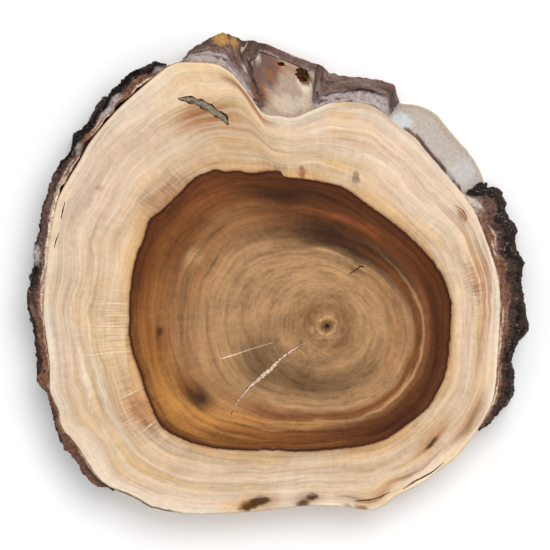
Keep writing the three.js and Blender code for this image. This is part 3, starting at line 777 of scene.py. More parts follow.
def tinted_rough(name, crumb_mm, contrast, highlight_share, roughness, bump_mm, stretch=(1, 1, 1)):
    """Bark or bare side wood: the tint carries its layers and patches; crumbs of noise darken and lighten it
    by the contrast,
    and small pale specks stand out: painted highlights, and dry grey scales."""
    material, tree = new_material(name)
    tint = add(tree, "ShaderNodeAttribute", attribute_name="tint").outputs["Color"]
    position = add(tree, "ShaderNodeTexCoord").outputs["Object"]
    drawn = add(tree, "ShaderNodeVectorMath", {0: position, 1: stretch}, operation="MULTIPLY").outputs[0]
    crumbs = add(tree, "ShaderNodeTexNoise", {
        "Vector": drawn, "Scale": 1 / (crumb_mm * MM), "Detail": 6, "Roughness": 0.72})
    brightness = add(tree, "ShaderNodeMapRange", {
        "Value": crumbs.outputs[0], "From Min": 0.3, "From Max": 0.7, "To Min": 1 - contrast,
        "To Max": 1 + 1.2 * contrast})
    shade = add(tree, "ShaderNodeVectorMath", {0: tint, "Scale": brightness.outputs[0]}, operation="SCALE")
    # Painted highlights: pale grey specks on the crumbs, which also stand for dry grey scales.
    highlight_noise = add(tree, "ShaderNodeTexNoise", {
        "Vector": position, "Scale": 1 / (1.7 * crumb_mm * MM), "Detail": 5, "Roughness": 0.7,
        "Distortion": 0.8})
    highlight_speck = add(tree, "ShaderNodeMapRange", {
        "Value": highlight_noise.outputs[0], "From Min": 0.7 - highlight_share, "From Max": 0.8 - highlight_share,
        "To Max": 0.8})
    mixed = add(tree, "ShaderNodeMix", {
        SHARE: highlight_speck.outputs[0], UNDER: shade.outputs[0],
        OVER: (*colour("bark_grey_highlight"), 1)}, data_type="RGBA")
    finish_material(tree, mixed.outputs[RESULT], roughness, crumbs.outputs[0], bump_mm, 0.9)
    return material


# Grooves in the top face: points of the middle line with the width at each, depth, the floor's share of
# the width, how ragged the sides are, and which finish they show.
# The dark slit finish on the walls of a groove is dirt together with painted shade in the gap.
GROOVES = [
    {"line": [(16.5, -43.2, 0.7), (9, -47.6, 1.6), (2, -52.6, 2.0), (-4.5, -59.4, 3.1), (-10, -64, 3.0),
              (-15.5, -68.6, 2.2), (-21.3, -75, 1.2), (-26.1, -81.6, 0.7), (-28.6, -88, 0.5),
              (-29, -92, 0.4)],
     "depth": 9, "floor": 0.25, "ragged": 0.45, "finish": "dirty_and_shaded"},
    {"line": [(-59.7, 103.4, 1.2), (-53.5, 103, 4.6), (-45.5, 100.5, 5.2), (-38.5, 96.2, 5),
              (-32, 91.6, 4.6), (-29.5, 87.6, 1.4)],
     "depth": 6, "floor": 0.6, "ragged": 0.3, "finish": "dirty_and_shaded"},
    {"line": [(-3, -43, 0.25), (-17.7, -47.4, 0.4), (-26, -50.4, 0.8), (-30.5, -51.6, 1.2),
              (-34.5, -52.8, 0.4)],
     "depth": 0.2, "floor": 0.8, "ragged": 0.4, "finish": "torn"},
    {"line": [(-95, -76.4, 0.4), (-89, -74, 1.0), (-83.1, -71.4, 0.6)],
     "depth": 0.2, "floor": 0.8, "ragged": 0.3, "finish": "torn"},
    {"line": [(-80.7, -96, 0.5), (-75.3, -91.8, 1.0)],
     "depth": 0.2, "floor": 0.8, "ragged": 0.3, "finish": "torn"},
    {"line": [(-109.5, -19.8, 0.4), (-99, -19.5, 0.7), (-89.7, -19.8, 0.4)],
     "depth": 0.12, "floor": 0.8, "ragged": 0.3, "finish": "torn"},
    {"line": [(-109.5, -33.4, 0.4), (-99, -33, 0.8), (-90.7, -32.6, 0.5)],
     "depth": 0.14, "floor": 0.8, "ragged": 0.3, "finish": "torn"},
    {"line": [(-122, -50.6, 0.4), (-110, -50.2, 0.7), (-98, -48.6, 0.9), (-88.6, -48, 0.5)],
     "depth": 0.14, "floor": 0.8, "ragged": 0.3, "finish": "torn"},
    {"line": [(-106, -40, 0.4), (-98, -39.6, 0.6), (-91, -39.4, 0.4)],
     "depth": 0.12, "floor": 0.8, "ragged": 0.3, "finish": "torn"},
    {"line": [(-103, -27, 0.4), (-97, -26.8, 0.6), (-90, -26.6, 0.4)],
     "depth": 0.12, "floor": 0.8, "ragged": 0.3, "finish": "torn"},
    {"line": [(42.9, -1.8, 0.5), (47.1, 0.6, 0.8), (49.8, 3, 1.4), (52.2, 2.4, 0.6)],
     "depth": 0.8, "floor": 0.6, "ragged": 0.5, "finish": "dirty_and_shaded"},
    {"line": [(-127.6, 41.4, 0.5), (-128.9, 36, 1.1), (-129.9, 31.2, 0.5)],
     "depth": 1.6, "floor": 0.5, "ragged": 0.4, "finish": "dirty_and_shaded"},
    {"line": [(-131.2, 22.8, 0.4), (-133, 18, 0.9), (-134, 13.8, 0.4)],
     "depth": 1.4, "floor": 0.5, "ragged": 0.4, "finish": "dirty_and_shaded"},
    {"line": [(75.3, -131, 0.5), (82.5, -126, 1.5), (91.5, -121.6, 1.3), (100, -114.8, 0.4)],
     "depth": 0.9, "floor": 0.5, "ragged": 0.3, "finish": "rusty"},
    {"line": [(46.5, -138, 0.5), (55.5, -137.4, 1.3), (61.5, -135.6, 1.1), (67.5, -132.6, 0.4)],
     "depth": 0.8, "floor": 0.5, "ragged": 0.4, "finish": "rusty"},
    {"line": [(106.5, 39.6, 0.4), (111.6, 36, 1.2), (113.6, 31.8, 0.4)],
     "depth": 0.3, "floor": 0.5, "ragged": 0.4, "finish": "rusty"},
]
# The hole at the pith: its radius at the top and at the floor, its depth, sides and how ragged it is.
PITH_HOLE = {"radius": 1.4, "floor_radius": 0.7, "depth": 2.5, "sides": 24, "ragged": 0.25}
# The rotted pits in the hollow: middle, and half sizes along x, y and z.
PITS = [
    {"at": (15.3, 117.6, 14), "half": (4.6, 5.4, 4.4)},
    {"at": (2.4, 124.2, 12.5), "half": (2.6, 2.0, 2.2)},
]
PIT_ROWS, PIT_COLUMNS, PIT_LUMPS = 12, 32, 0.34
# How far above the top face a cut starts, and the step along a groove.
CUT_OVERSHOOT = 1
GROOVE_STEP = 1.1

# The wood's finishes, in the order of its materials.
FINISHES = ["sanded", "sawn", "side", "torn", "dirty_and_shaded", "rusty", "rot"]


def carried(line, step):
    """Even steps along a line of points with widths: the distance, middle, width and leftward direction
    at each, with at least three steps."""
    line = np.array(line, float)
    lengths = np.concatenate([[0], np.cumsum(np.linalg.norm(np.diff(line[:, :2], axis=0), axis=1))])
    at = np.linspace(0, lengths[-1], max(3, int(lengths[-1] / step)))
    x, y, width = (np.interp(at, lengths, line[:, k]) for k in range(3))
    left = np.stack([-np.gradient(y), np.gradient(x)], axis=1)
    left /= np.linalg.norm(left, axis=1, keepdims=True)
    return at, np.stack([x, y], axis=1), width, left


def groove(line, depth, floor, ragged, seed):
    """A groove's solid: a four-cornered section, wide above and narrow at the floor, carried along the
    line at even steps, each side moved in and out by noise. The section is closed at both ends."""
    at, middle, width, left = carried(line, GROOVE_STEP)
    sides = []
    for direction, height, share in ((1, THICKNESS + CUT_OVERSHOOT, 1), (-1, THICKNESS + CUT_OVERSHOOT, 1),
                                     (-1, THICKNESS - depth, floor), (1, THICKNESS - depth, floor)):
        half = width / 2 * share * (1 + ragged * noise(at / 1.7, at * 0 + direction, seed))
        edge = middle + direction * left * half[:, None]
        sides.append(np.concatenate([edge, np.full((len(at), 1), height)], axis=1))
    points = np.stack(sides, axis=1).reshape(-1, 3)
    last = 4 * (len(at) - 1)
    ends = [(3, 2, 1, 0), (last, last + 1, last + 2, last + 3)]
    return points, [np.concatenate([strip_faces(len(at), 4, closed=True), ends])]


def pith_hole():
    """A round tapered hole: two rings of points, closed by flat ends cut into strips of four-sided faces."""
    turn = np.arange(PITH_HOLE["sides"]) * 2 * math.pi / PITH_HOLE["sides"]
    radius = np.array([PITH_HOLE["radius"], PITH_HOLE["floor_radius"]])[:, None]
    ragged = 1 + PITH_HOLE["ragged"] * noise(turn * 3, turn * 0, 5)
    height = np.array([THICKNESS + CUT_OVERSHOOT, THICKNESS - PITH_HOLE["depth"]])[:, None]
    x = PITH[0] + radius * ragged * np.cos(turn)
    y = PITH[1] + radius * ragged * np.sin(turn)
    points = np.stack([x, y, height + 0 * x], axis=-1).reshape(-1, 3)
    sides = PITH_HOLE["sides"]
    k = np.arange(sides // 2 - 1)
    lid = np.stack([k, k + 1, sides - 2 - k, sides - 1 - k], axis=1)
    return points, [np.concatenate([strip_faces(2, sides, closed=True), lid[:, ::-1], lid + sides])]


def pit(at, half, seed):
    """A rotted pit's solid: a lumpy ball, from rings of latitude with a point at each pole."""
    tilt = np.linspace(0, math.pi, PIT_ROWS + 2)[1:-1, None]
    turn = np.arange(PIT_COLUMNS)[None, :] * 2 * math.pi / PIT_COLUMNS
    lumps = 1 + PIT_LUMPS * noise(np.cos(turn) * 2.4 + 7, np.sin(turn) * 2.4 + tilt * 2, seed)
    ball = np.stack([np.sin(tilt) * np.cos(turn), np.sin(tilt) * np.sin(turn), np.cos(tilt) + 0 * turn], -1)
    points = (ball * lumps[..., None] * half + at).reshape(-1, 3)
    poles = np.array(at) + np.array([(0, 0, half[2]), (0, 0, -half[2])])
    return closed_rows(points, poles, PIT_ROWS, PIT_COLUMNS)


def closed_rows(points, poles, rows, columns):
    """Rows of points joined into a closed skin, with a fan of triangles to a pole before the first row
    and after the last. Returns the points and the blocks of faces: four-sided, first fan, last fan."""
    top, bottom = len(points), len(points) + 1
    k = np.arange(columns)
    after = (k + 1) % columns
    first = np.stack([after, k, 0 * k + top], axis=1)
    low = (rows - 1) * columns
    last = np.stack([low + k, low + after, 0 * k + bottom], axis=1)
    return np.concatenate([points, poles]), [strip_faces(rows, columns, closed=True), first, last]


# The grid of the wood's skin: columns round it, and rows over the top face, down the wall and below.
WOOD_COLUMNS = 480
TOP_ROWS, WALL_ROWS, BOTTOM_ROWS = 138, 20, 36
# The nicks in the top rim, in size and depth, and the flutes of the wall, in width and in height.
NICK_MM, NICK_DEPTH = 2.3, 0.22
FLUTE_MM, FLUTE_HEIGHT_MM = 3.1, 9


def wood_skin():
    """The wood as rows of points from the pith out over the top face, down the wall and back to the pith
    under the base. The top rim is worn down a little, and the wall has shallow upright flutes."""
    sizes = bpy.context.scene.wood_slice_sizes
    stations = station_of(np.arange(WOOD_COLUMNS) * RIM_LENGTH / WOOD_COLUMNS)
    pith = np.array([*PITH, 0.0])
    zero = 0 * stations
    rim = point_out(stations, zero, zero)
    worn = rim + NICK_DEPTH * noise(rim[:, 0] / NICK_MM, rim[:, 1] / NICK_MM, 9)[:, None] * (1, 1, 0)
    top_share = (np.arange(1, TOP_ROWS + 1) / (TOP_ROWS + 0.6))[:, None, None]
    top = pith + top_share * (worn - pith) + (0, 0, THICKNESS)
    arris = worn + (0, 0, THICKNESS - sizes.arris / MM)

    level = np.linspace(1, 0, WALL_ROWS + 1)[1:, None]
    height = level * THICKNESS + zero
    flutes = noise(rim[:, 0] / FLUTE_MM, rim[:, 1] / FLUTE_MM, 12)
    flutes = flutes + 0.5 * noise(height / FLUTE_HEIGHT_MM, rim[:, 0] / 2, 13)
    depth = sizes.wall_relief / MM * (0.5 + 0.5 * flutes) * (bark_at(stations) < 0.05)
    wall = point_out(stations + 0 * height, wood_reach(stations, height) - depth, height)

    bottom_share = (np.arange(BOTTOM_ROWS, 0, -1) / (BOTTOM_ROWS + 1))[:, None, None]
    bottom = pith + bottom_share * (wall[-1] - pith)
    rows = np.concatenate([top, arris[None], wall, bottom])
    poles = np.array([pith + (0, 0, THICKNESS), pith])
    return closed_rows(rows.reshape(-1, 3), poles, len(rows), WOOD_COLUMNS)


def wood_finish():
    """Which finish each face of the whole disc has: sanded above, bare side wood from the top rim to the
    base, sawn below, and the two fans at the pith."""
    strips = ["sanded"] * (TOP_ROWS - 1) + ["side"] * (1 + WALL_ROWS) + ["sawn"] * BOTTOM_ROWS
    return np.repeat([FINISHES.index(name) for name in strips + ["sanded", "sawn"]], WOOD_COLUMNS)


def cut_away(piece, cutter):
    """Takes the cutter's solids out of a piece. Their faces keep their own finish."""
    step = piece.modifiers.new("cuts", "BOOLEAN")
    step.operation = "DIFFERENCE"
    step.solver = "EXACT"
    step.object = cutter
    graph = bpy.context.evaluated_depsgraph_get()
    made = bpy.data.meshes.new_from_object(piece.evaluated_get(graph))
    if len(made.polygons) < len(piece.data.polygons):
        raise RuntimeError("the cuts took more than their own solids out of " + piece.name)
    piece.modifiers.clear()
    whole, spent = piece.data, cutter.data
    piece.data = made
    bpy.data.objects.remove(cutter)
    bpy.data.meshes.remove(whole)
    bpy.data.meshes.remove(spent)


def all_cuts():
    """The solids of all cuts as one set of points, blocks of faces and a finish for each face. No two of
    them touch."""
    cuts = [(groove(c["line"], c["depth"], c["floor"], c["ragged"], seed), c["finish"])
            for seed, c in enumerate(GROOVES)]
    cuts.append((pith_hole(), "rot"))
    cuts += [(pit(hole["at"], hole["half"], seed), "rot") for seed, hole in enumerate(PITS)]
    points, blocks, finishes, count = [], [], [], 0
    for (some_points, some_blocks), finish in cuts:
        points.append(some_points)
        blocks += [block + count for block in some_blocks]
        finishes += [FINISHES.index(finish)] * sum(map(len, some_blocks))
        count += len(some_points)
    return np.concatenate(points), blocks, finishes


def smooth(piece, degrees):
    """Smooth shading, with edges sharper than an angle kept sharp."""
    mesh = piece.data
    mesh.polygons.foreach_set("use_smooth", np.ones(len(mesh.polygons), bool))
    mesh.set_sharp_from_angle(angle=math.radians(degrees))


class WOODSLICE_OT_wood(bpy.types.Operator):
    """Builds the wood with its crack, checks, slot and pits"""

    bl_idname = "woodslice.wood"
    bl_label = "Wood"

    def execute(self, context):
        materials = [
            # The show face: fine rings under a soft sheen.
            end_grain("Fruitwood, sanded end grain", 1.0, saw_marks=False),
            # The same rings, duller, under the strokes of a saw.
            end_grain("Fruitwood, sawn end grain", 0.9, saw_marks=True),
            # Smooth grey and tan wood drawn upwards, where the bark has gone.
            tinted_rough("Fruitwood, bare weathered side", 1.6, 0.17, -0.1, 0.7, 0.3, (1, 1, 0.1)),
            # Bright hairlines across the rings.
            plain_rough("Fruitwood, torn fibre", "fibre", "cream", 1.6, 0.2),
            # Dark, rusty and rotten insides of the slits, the pith hole and the pits; their darkest colour is
            # dirt together with painted shade.
            plain_rough("Fruitwood, dirty slit", "smudge", "grime", 1.5, 0.3),
            plain_rough("Fruitwood, rusty slit", "rust", "smudge", 1.5, 0.2),
            plain_rough("Fruitwood, rotten", "rot", "grime", 2.2, 0.8),
        ]
        points, blocks = wood_skin()
        piece = mesh_polygons("wood_grown", points, blocks, materials, wood_finish())
        cut_points, cut_blocks, finishes = all_cuts()
        cutter = mesh_polygons("cuts", cut_points, cut_blocks, materials, finishes, boxed=False)
        recalculate(cutter)
        cut_away(piece, cutter)
        positions = drawing_positions(piece.data)
        place = ring_place(positions)
        store(piece.data, "growth", place[0])
        store(piece.data, "outside_heart", outside_heart(positions))
        tint = wood_tint(positions, place)
        wall = on_side(positions)
        tint[wall] = side_tint(positions[wall])
        store(piece.data, "tint", tint)
        store(piece.data, "ray", ray_strength(place))
        smooth(piece, 38)
        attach(piece, "root")
        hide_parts("wood")
        return {"FINISHED"}


def mesh_polygons(name, points, blocks, materials, face_material, boxed=True):
    """An object from drawing points and blocks of faces, each block with one number of corners. All faces
    are turned round if the volume that they close is less than zero."""
    places = centred(points) if boxed else (np.array(points) + (*SHIFT, 0)) * MM
    faces = [face for block in blocks for face in block.tolist()]
    mesh = bpy.data.meshes.new(name)
    mesh.from_pydata(places.tolist(), [], faces)
    for material in materials:
        mesh.materials.append(material)
    mesh.polygons.foreach_set("material_index", np.broadcast_to(face_material, len(faces)).astype(np.int32))
    mesh.calc_loop_triangles()
    corners = np.empty(3 * len(mesh.loop_triangles), np.int32)
    mesh.loop_triangles.foreach_get("vertices", corners)
    first, second, third = places[corners.reshape(-1, 3)].transpose(1, 0, 2)
    if np.einsum("ij,ij->", first, np.cross(second, third)) < 0:
        mesh.flip_normals()
    piece = bpy.data.objects.new(name, mesh)
    bpy.context.scene.collection.objects.link(piece)
    return piece


# The bark patches, as in the part's source, with how rough their surface is made here.
BARK_PATCHES = [
    {"node": "bark_right", "from": 10.4, "to": 21.1, "seed": 11, "knob": (9, 19, 0.42), "crumbs": 1.0,
     "slot": "rough_bark", "section": "right"},
    {"node": "bark_top", "from": 25.75, "to": 39.35, "seed": 23, "knob": (19, 16, 0.22), "crumbs": 0.45,
     "slot": "smooth_bark", "section": "top"},
    {"node": "bark_left", "from": 39.75, "to": 59.4, "seed": 37, "knob": (8.5, 17, 0.5), "crumbs": 1.0,
     "slot": "rough_bark", "section": "left"},
]
# A patch thins to a share over its last millimetres, and noise moves its end inwards by up to some more.
PATCH_END = {"length": 9, "thin": 0.35, "ragged": 5}
# The least thickness of a patch, and the swellings under its knobs: how much larger, and their share.
PATCH_LEAST = 0.9
SWELLING = {"scale": 2, "share": 0.3}
# How far the bark's inner face goes into the clearance, and the grid over a patch: the step along the rim,
# the points across and up, and how much closer the latter stand towards the top.
INNER_OVERLAP = 0.28
BARK_STEP, BARK_ACROSS, BARK_UP, CLOSER_TO_TOP = 0.75, 13, 40, 1.15
# The relief of the bark: sizes along the rim and up it, and the share of each kind.
CRUMB_MM, RIDGE_MM, FLAKE_MM, CHIP_MM = (3, 4.5), (6, 11), (1.9, 2.6), (1.1, 1.5)
CRUMB_SHARE, RIDGE_SHARE, FLAKE_SHARE, SUNK = 0.7, 0.5, 0.45, 0.15

# Colours over a section of bark, by how far over it they are: 0 at the wood, 1 at the outer arris, 2 at
# the base of the outer face.
LEFT_SECTION = [(0, "bark_inner"), (0.34, "bark_inner"), (0.55, "bark_brown"), (0.75, "bark_brown"),
                (1.1, "bark_black"), (2, "bark_brown")]
RIGHT_SECTION = [(0, "bark_inner"), (0.42, "bark_inner"), (0.54, "bark_brown"),
                 (0.8, "bark_brown"), (1.1, "bark_black"), (2, "bark_brown")]
TOP_SECTION = [(0, "lilac"), (0.8, "lilac"), (1.0, "plum"), (2, "plum")]
BARK_SECTIONS = {"left": LEFT_SECTION, "right": RIGHT_SECTION, "top": TOP_SECTION}

# Patches of colour on each node's bark: station, half length in stations, place over the section, half
# width there, colour and strength.
BARK_STAINS = {
    "bark_top": [
        (27.4, 2.3, 1.0, 0.11, "bark_black", 0.9), (31.6, 2.2, 0.6, 0.7, "plum", 0.95),
        (26.6, 0.8, 0.6, 0.5, "pale_lichen_and_highlight", 0.7), (26.2, 0.6, 1.4, 0.4, "bark_brown", 0.8),
        (33.0, 0.6, 0.7, 0.5, "bark_brown", 0.7), (36.2, 0.7, 1.75, 0.3, "lichen", 1.0),
        (35.2, 0.5, 1.8, 0.2, "lichen", 0.7), (34.3, 0.5, 1.35, 0.08, "cream", 0.5),
        (33.9, 0.5, 1.7, 0.1, "cream", 0.7), (33.8, 0.4, 0.9, 0.3, "bark_inner", 0.8),
        (33.5, 0.5, 0.5, 0.5, "bark_brown", 0.7), (33.7, 0.25, 0.6, 0.2, "rust", 0.9),
        (32.2, 0.8, 1.1, 0.12, "rust", 0.6), (31.2, 0.5, 1.0, 0.1, "cream", 0.5),
        # The pale line at the outer arris from station 35.6 to 39.2 is a painted highlight along the rim.
        (34.6, 0.7, 1.65, 0.2, "bark_brown", 0.6), (37.4, 1.8, 1.05, 0.12, "pale_lichen_and_highlight", 0.8),
        (38.0, 1.4, 1.7, 0.3, "bark_brown", 0.6), (35.6, 1.2, 0.3, 0.4, "lilac", 0.6),
        (39, 0.6, 0.7, 0.5, "pale_lichen_and_highlight", 0.6),
    ],
    "bark_left": [
        (47.6, 2.4, 0.05, 0.22, "cream", 0.75), (43.4, 3.4, 1.1, 0.6, "bark_black", 0.95),
        (40.6, 0.8, 0.6, 0.4, "pale_lichen_and_highlight", 0.9), (43.0, 0.5, 0.4, 0.3, "pale_lichen_and_highlight", 0.8),
        (44.6, 0.4, 0.5, 0.3, "pale_lichen_and_highlight", 0.7), (47.0, 1.6, 0.9, 0.4, "plum", 0.7),
        (48.6, 0.35, 1.0, 0.5, "pale_lichen_and_highlight", 0.9), (51.2, 1.4, 0.8, 0.4, "plum", 0.8),
        (53.6, 2.4, 0.5, 0.35, "bark_inner", 0.7), (54.0, 1.0, 0.6, 0.3, "bark_brown", 0.8),
        (58.4, 1.6, 0.7, 0.7, "bark_brown", 0.8), (52.6, 2.4, 0.85, 0.5, "bark_inner", 0.85),
        (57.2, 2.4, 0.9, 0.5, "bark_inner", 0.75),
    ],
    "bark_right": [
        (20.9, 1.4, 0.0, 0.8, "weathered", 1.0), (19.8, 1.0, 0.7, 0.3, "plum", 0.8),
        (14, 3, 0.35, 0.14, "bark_inner", 0.6), (12.4, 1.2, 0.7, 0.4, "bark_brown", 0.7),
    ],
}


def lump(along, z, width, height, seed):
    """The lumps of the bark, from -1 to 1, as in the part: knobs of a size, on broader swellings."""
    knobs = noise(along / width, z / height, seed)
    scale, share = SWELLING["scale"], SWELLING["share"]
    swellings = noise(along / (scale * width), z / (scale * height), seed + 1)
    return knobs * (1 - share) + swellings * share


def bark_span(patch):
    """Where a patch starts and ends along the rim: at the part's own columns."""
    step = RIM_LENGTH / round(RIM_LENGTH / CAD_COLUMN_STEP)
    start, end = np.interp((patch["from"], patch["to"]), FINE_STATIONS, FINE_LENGTHS)
    return math.ceil(start / step) * step, math.floor(end / step) * step


def bark_point(patch, along, across, level):
    """A point of a bark patch and its relief. Across goes from 0 at the wood to 1 at the outer face, and
    level from 0 at the base to 1 at the top. The thickness is the part's, with crumbs, ridges and flakes
    on it. Noise moves the patch's ends inwards and tears the lip at the hollow. The top edge is broken
    downwards, more towards the outer face, and behind the loose bark a ragged inner face fills part of
    the gap."""
    sizes = bpy.context.scene.wood_slice_sizes
    width, height, share = patch["knob"]
    seed = patch["seed"]
    first, last = bark_span(patch)
    from_first, from_last = (along - first) / PATCH_END["length"], (last - along) / PATCH_END["length"]
    inward = PATCH_END["ragged"] * (0.5 + 0.5 * rough(across * 3 + 7, level * 6, seed + 33))
    moved = along + inward * (smoothstep(1, 0, from_first) - smoothstep(1, 0, from_last))
    station = station_of(moved)
    crags = rough(across * 5, along / 9, seed + 40) + 0.6 * noise(across * 9, along / 2.2, seed + 41)
    torn = station + HOLLOW["jagged"] * crags
    top = THICKNESS * (1 - (1 - HOLLOW["lip"]) * hollow_at(torn))
    z = level * top
    from_end = np.minimum(from_first, from_last)
    taper = PATCH_END["thin"] + (1 - PATCH_END["thin"]) * smoothstep(0, 1, from_end)
    swell = 1 + share * lump(along, z, width, height, seed)
    thick = np.maximum(PATCH_LEAST, bark_at(station) * taper * swell)
    crumbs = rough(along / CRUMB_MM[0], z / CRUMB_MM[1], seed + 50, 3)
    ridges = 1 - 2 * np.abs(rough(along / RIDGE_MM[0], z / RIDGE_MM[1], seed + 60, 3))
    flakes = np.abs(noise(along / FLAKE_MM[0], z / FLAKE_MM[1], seed + 80))
    flakes = flakes + np.abs(noise(along / CHIP_MM[0], z / CHIP_MM[1], seed + 81)) / 2
    relief = patch["crumbs"] * (CRUMB_SHARE * crumbs + RIDGE_SHARE * ridges - FLAKE_SHARE * flakes - SUNK)
    wall = wood_reach(station, z) + space_at(station)
    open_gap = space_at(station) - BARK_CLEARANCE
    bridges = open_gap * (0.45 + 0.5 * noise(along / 5, z / 40, seed + 90))
    inner = -INNER_OVERLAP * (open_gap < 0.1) - bridges + 0.25 * noise(along / 2, z / 4, seed)
    outer = thick + sizes.crumb_relief / MM * relief * np.minimum(1, thick / 3)
    distance = wall + inner * (1 - across) + across * np.maximum(outer, 0.5)
    out = across * thick
    breakage = 0.45 + 0.5 * rough(along / 4.5, out / 3, seed + 70, 3)
    breakage = breakage + 0.4 * noise(along / 1.6, out / 1.6, seed)
    broken = patch["crumbs"] * sizes.broken_edge / MM
    drop = broken * np.maximum(0, breakage) * smoothstep(0.1, 0.6, across)
    z = z - drop * smoothstep(0.82, 1, level) - 0.15 * (level > 0.999)
    return point_out(station, distance, np.maximum(z, 0)), relief


def bent_block(patch):
    """A patch's closed skin: the six faces of a block whose three sides run along the rim, across the
    bark and up it, as grids that are joined where they meet. Returns the places of its points along,
    across and up, and its block of faces."""
    first, last = bark_span(patch)
    along = np.linspace(first, last, int((last - first) / BARK_STEP))
    across = np.linspace(0, 1, BARK_ACROSS)
    level = 1 - np.linspace(0, 1, BARK_UP) ** CLOSER_TO_TOP
    grids = []
    for side in (0.0, 1.0):
        grids.append(np.meshgrid(along, [side], level, indexing="ij"))
        grids.append(np.meshgrid(along, across, [side], indexing="ij"))
        grids.append(np.meshgrid([first if side == 0 else last], across, level, indexing="ij"))
    places, faces, count = [], [], 0
    for grid in grids:
        shape = [n for n in grid[0].shape if n > 1]
        places.append(np.stack([part.ravel() for part in grid], axis=1))
        faces.append(strip_faces(*shape, closed=False) + count)
        count += shape[0] * shape[1]
    places = np.concatenate(places)
    unique, where = np.unique(np.round(places, 9), axis=0, return_inverse=True)
    return unique, [where.ravel()[np.concatenate(faces)]]


def bark_tint(patch, along, across, level, relief):
    """The bark's colour: bands over the section, then on rough bark pale and brown streaks inside and,
    outside, sunk furrows darker and raised knobs lighter, partly the bark's own colour and partly painted
    shade and light, and on smooth bark worn, brown and pale patches, then the listed patches, whose edges
    noise makes jagged."""
    station = station_of(along)
    over = across + (1 - level)
    shifted = over + 0.14 * rough(along / 4, over * 4, patch["seed"] + 5)
    tint = banded(BARK_SECTIONS[patch["section"]], shifted)
    if patch["slot"] == "rough_bark":
        inside = smoothstep(0.55, 0.35, over)
        streaks = noise(over * 16, along / 13, patch["seed"] + 3) + 0.5 * noise(over * 34, along / 7, 8)
        tint = blend(tint, colour("fibre"), inside * smoothstep(0.1, 0.6, streaks) * 0.7)
        tint = blend(tint, colour("bark_brown"), inside * smoothstep(-0.1, -0.7, streaks) * 0.6)
        outside = smoothstep(0.7, 1, over)
        # Painted shade and light on the outer face: furrows sunk by the relief are darkened towards black and
        # raised knobs lightened towards brown, over the bark's own dark colour.
        tint = blend(tint, colour("bark_black"), outside * smoothstep(0.0, -0.7, relief) * 0.9)
        tint = blend(tint, colour("bark_brown"), outside * smoothstep(0.1, 0.6, relief) * 0.5)
    else:
        patches = rough(along / 7, over * 4, patch["seed"] + 11, 4)
        worn = smoothstep(1.25, 0.85, over) * 0.6 + 0.25
        tint = blend(tint, colour("lilac"), smoothstep(0.12, 0.4, patches) * worn)
        tint = blend(tint, colour("bark_brown"), smoothstep(-0.2, -0.45, patches) * 0.8)
        tint = blend(tint, colour("pale_lichen_and_highlight"), smoothstep(0.05, 0.0, np.abs(patches - 0.1)) * 0.5)
    wander = 0.7 * rough(along / 3.5, over * 7, patch["seed"] + 9, 4)
    for at, spread, place, width, name, strength in BARK_STAINS[patch["node"]]:
        apart = ((station - at) / spread) ** 2 + ((over - place) / width) ** 2
        tint = blend(tint, colour(name), strength * smoothstep(1.2, 0.3, apart + wander))
    return tint


# What fills the two widest grooves: the groove, the share of its width, how far its face lies below the
# top at the shallowest and at the deepest, how long its lumps are, and its finish and slot.
FILLINGS = [
    {"name": "crack_fibres", "groove": 0, "cover": 0.98, "shallow": 0.05, "deep": 0.7, "lump": 1.6,
     "finish": "torn", "slot": "wood"},
    {"name": "slot_bark", "groove": 1, "cover": 0.8, "shallow": 0.25, "deep": 2.0, "lump": 3.2,
     "finish": "decayed", "slot": "wood"},
]
# The step along a filling, the points over its face, and how far its lower corners lie below the deepest.
FILLING_STEP = 0.45
FILLING_ACROSS = 9
FILLING_UNDER = 1.5


def filling(part, seed):
    """A lumpy bar along a groove: at even steps, a section with a rough face on top, lower towards its
    sides, and two corners below."""
    at, middle, width, left = carried(GROOVES[part["groove"]]["line"], FILLING_STEP)
    over = np.linspace(-1, 1, FILLING_ACROSS)
    ragged = 1 + 0.25 * rough(at / 2.5, at * 0, seed + 20)
    half = (width / 2 * part["cover"] * ragged)[:, None]
    lumps = rough(at[:, None] / part["lump"], over * half / 0.9, seed + 10, 3)
    depth = part["shallow"] + (part["deep"] - part["shallow"]) * (0.5 + 0.5 * lumps) + 0.5 * over ** 4
    across = np.concatenate([over * half, 0.9 * half, -0.9 * half], axis=1)
    under = np.full((len(at), 2), part["deep"] + FILLING_UNDER)
    height = THICKNESS - np.concatenate([depth, under], axis=1)
    plan = middle[:, None, :] + left[:, None, :] * across[..., None]
    points = np.concatenate([plan, height[..., None]], axis=2).reshape(-1, 3)
    ring = FILLING_ACROSS + 2
    last = ring * (len(at) - 1)
    ends = np.arange(ring) + [[0], [last]]
    return points, [strip_faces(len(at), ring, closed=True), ends]


class WOODSLICE_OT_fillings(bpy.types.Operator):
    """Builds the torn fibres in the crack and the decayed bark in the slot"""

    bl_idname = "woodslice.fillings"
    bl_label = "Fillings"

    def execute(self, context):
        finishes = {
            # Pale splinters with brown gaps between them.
            "torn": plain_rough("Fruitwood, torn pale fibres", "fibre", "umber", 0.9, 0.4, 0.4, 0.5),
            # Dull grey-brown crumbs, dark in their hollows.
            "decayed": plain_rough("Bark, decayed in the slot", "decayed", "smudge", 2.2, 0.6, 0.34, 0.56),
        }
        for seed, part in enumerate(FILLINGS):
            points, blocks = filling(part, seed)
            piece = mesh_polygons(part["name"], points, blocks, [finishes[part["finish"]]], 0)
            recalculate(piece)
            smooth(piece, 40)
            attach(piece, "root")
        return {"FINISHED"}


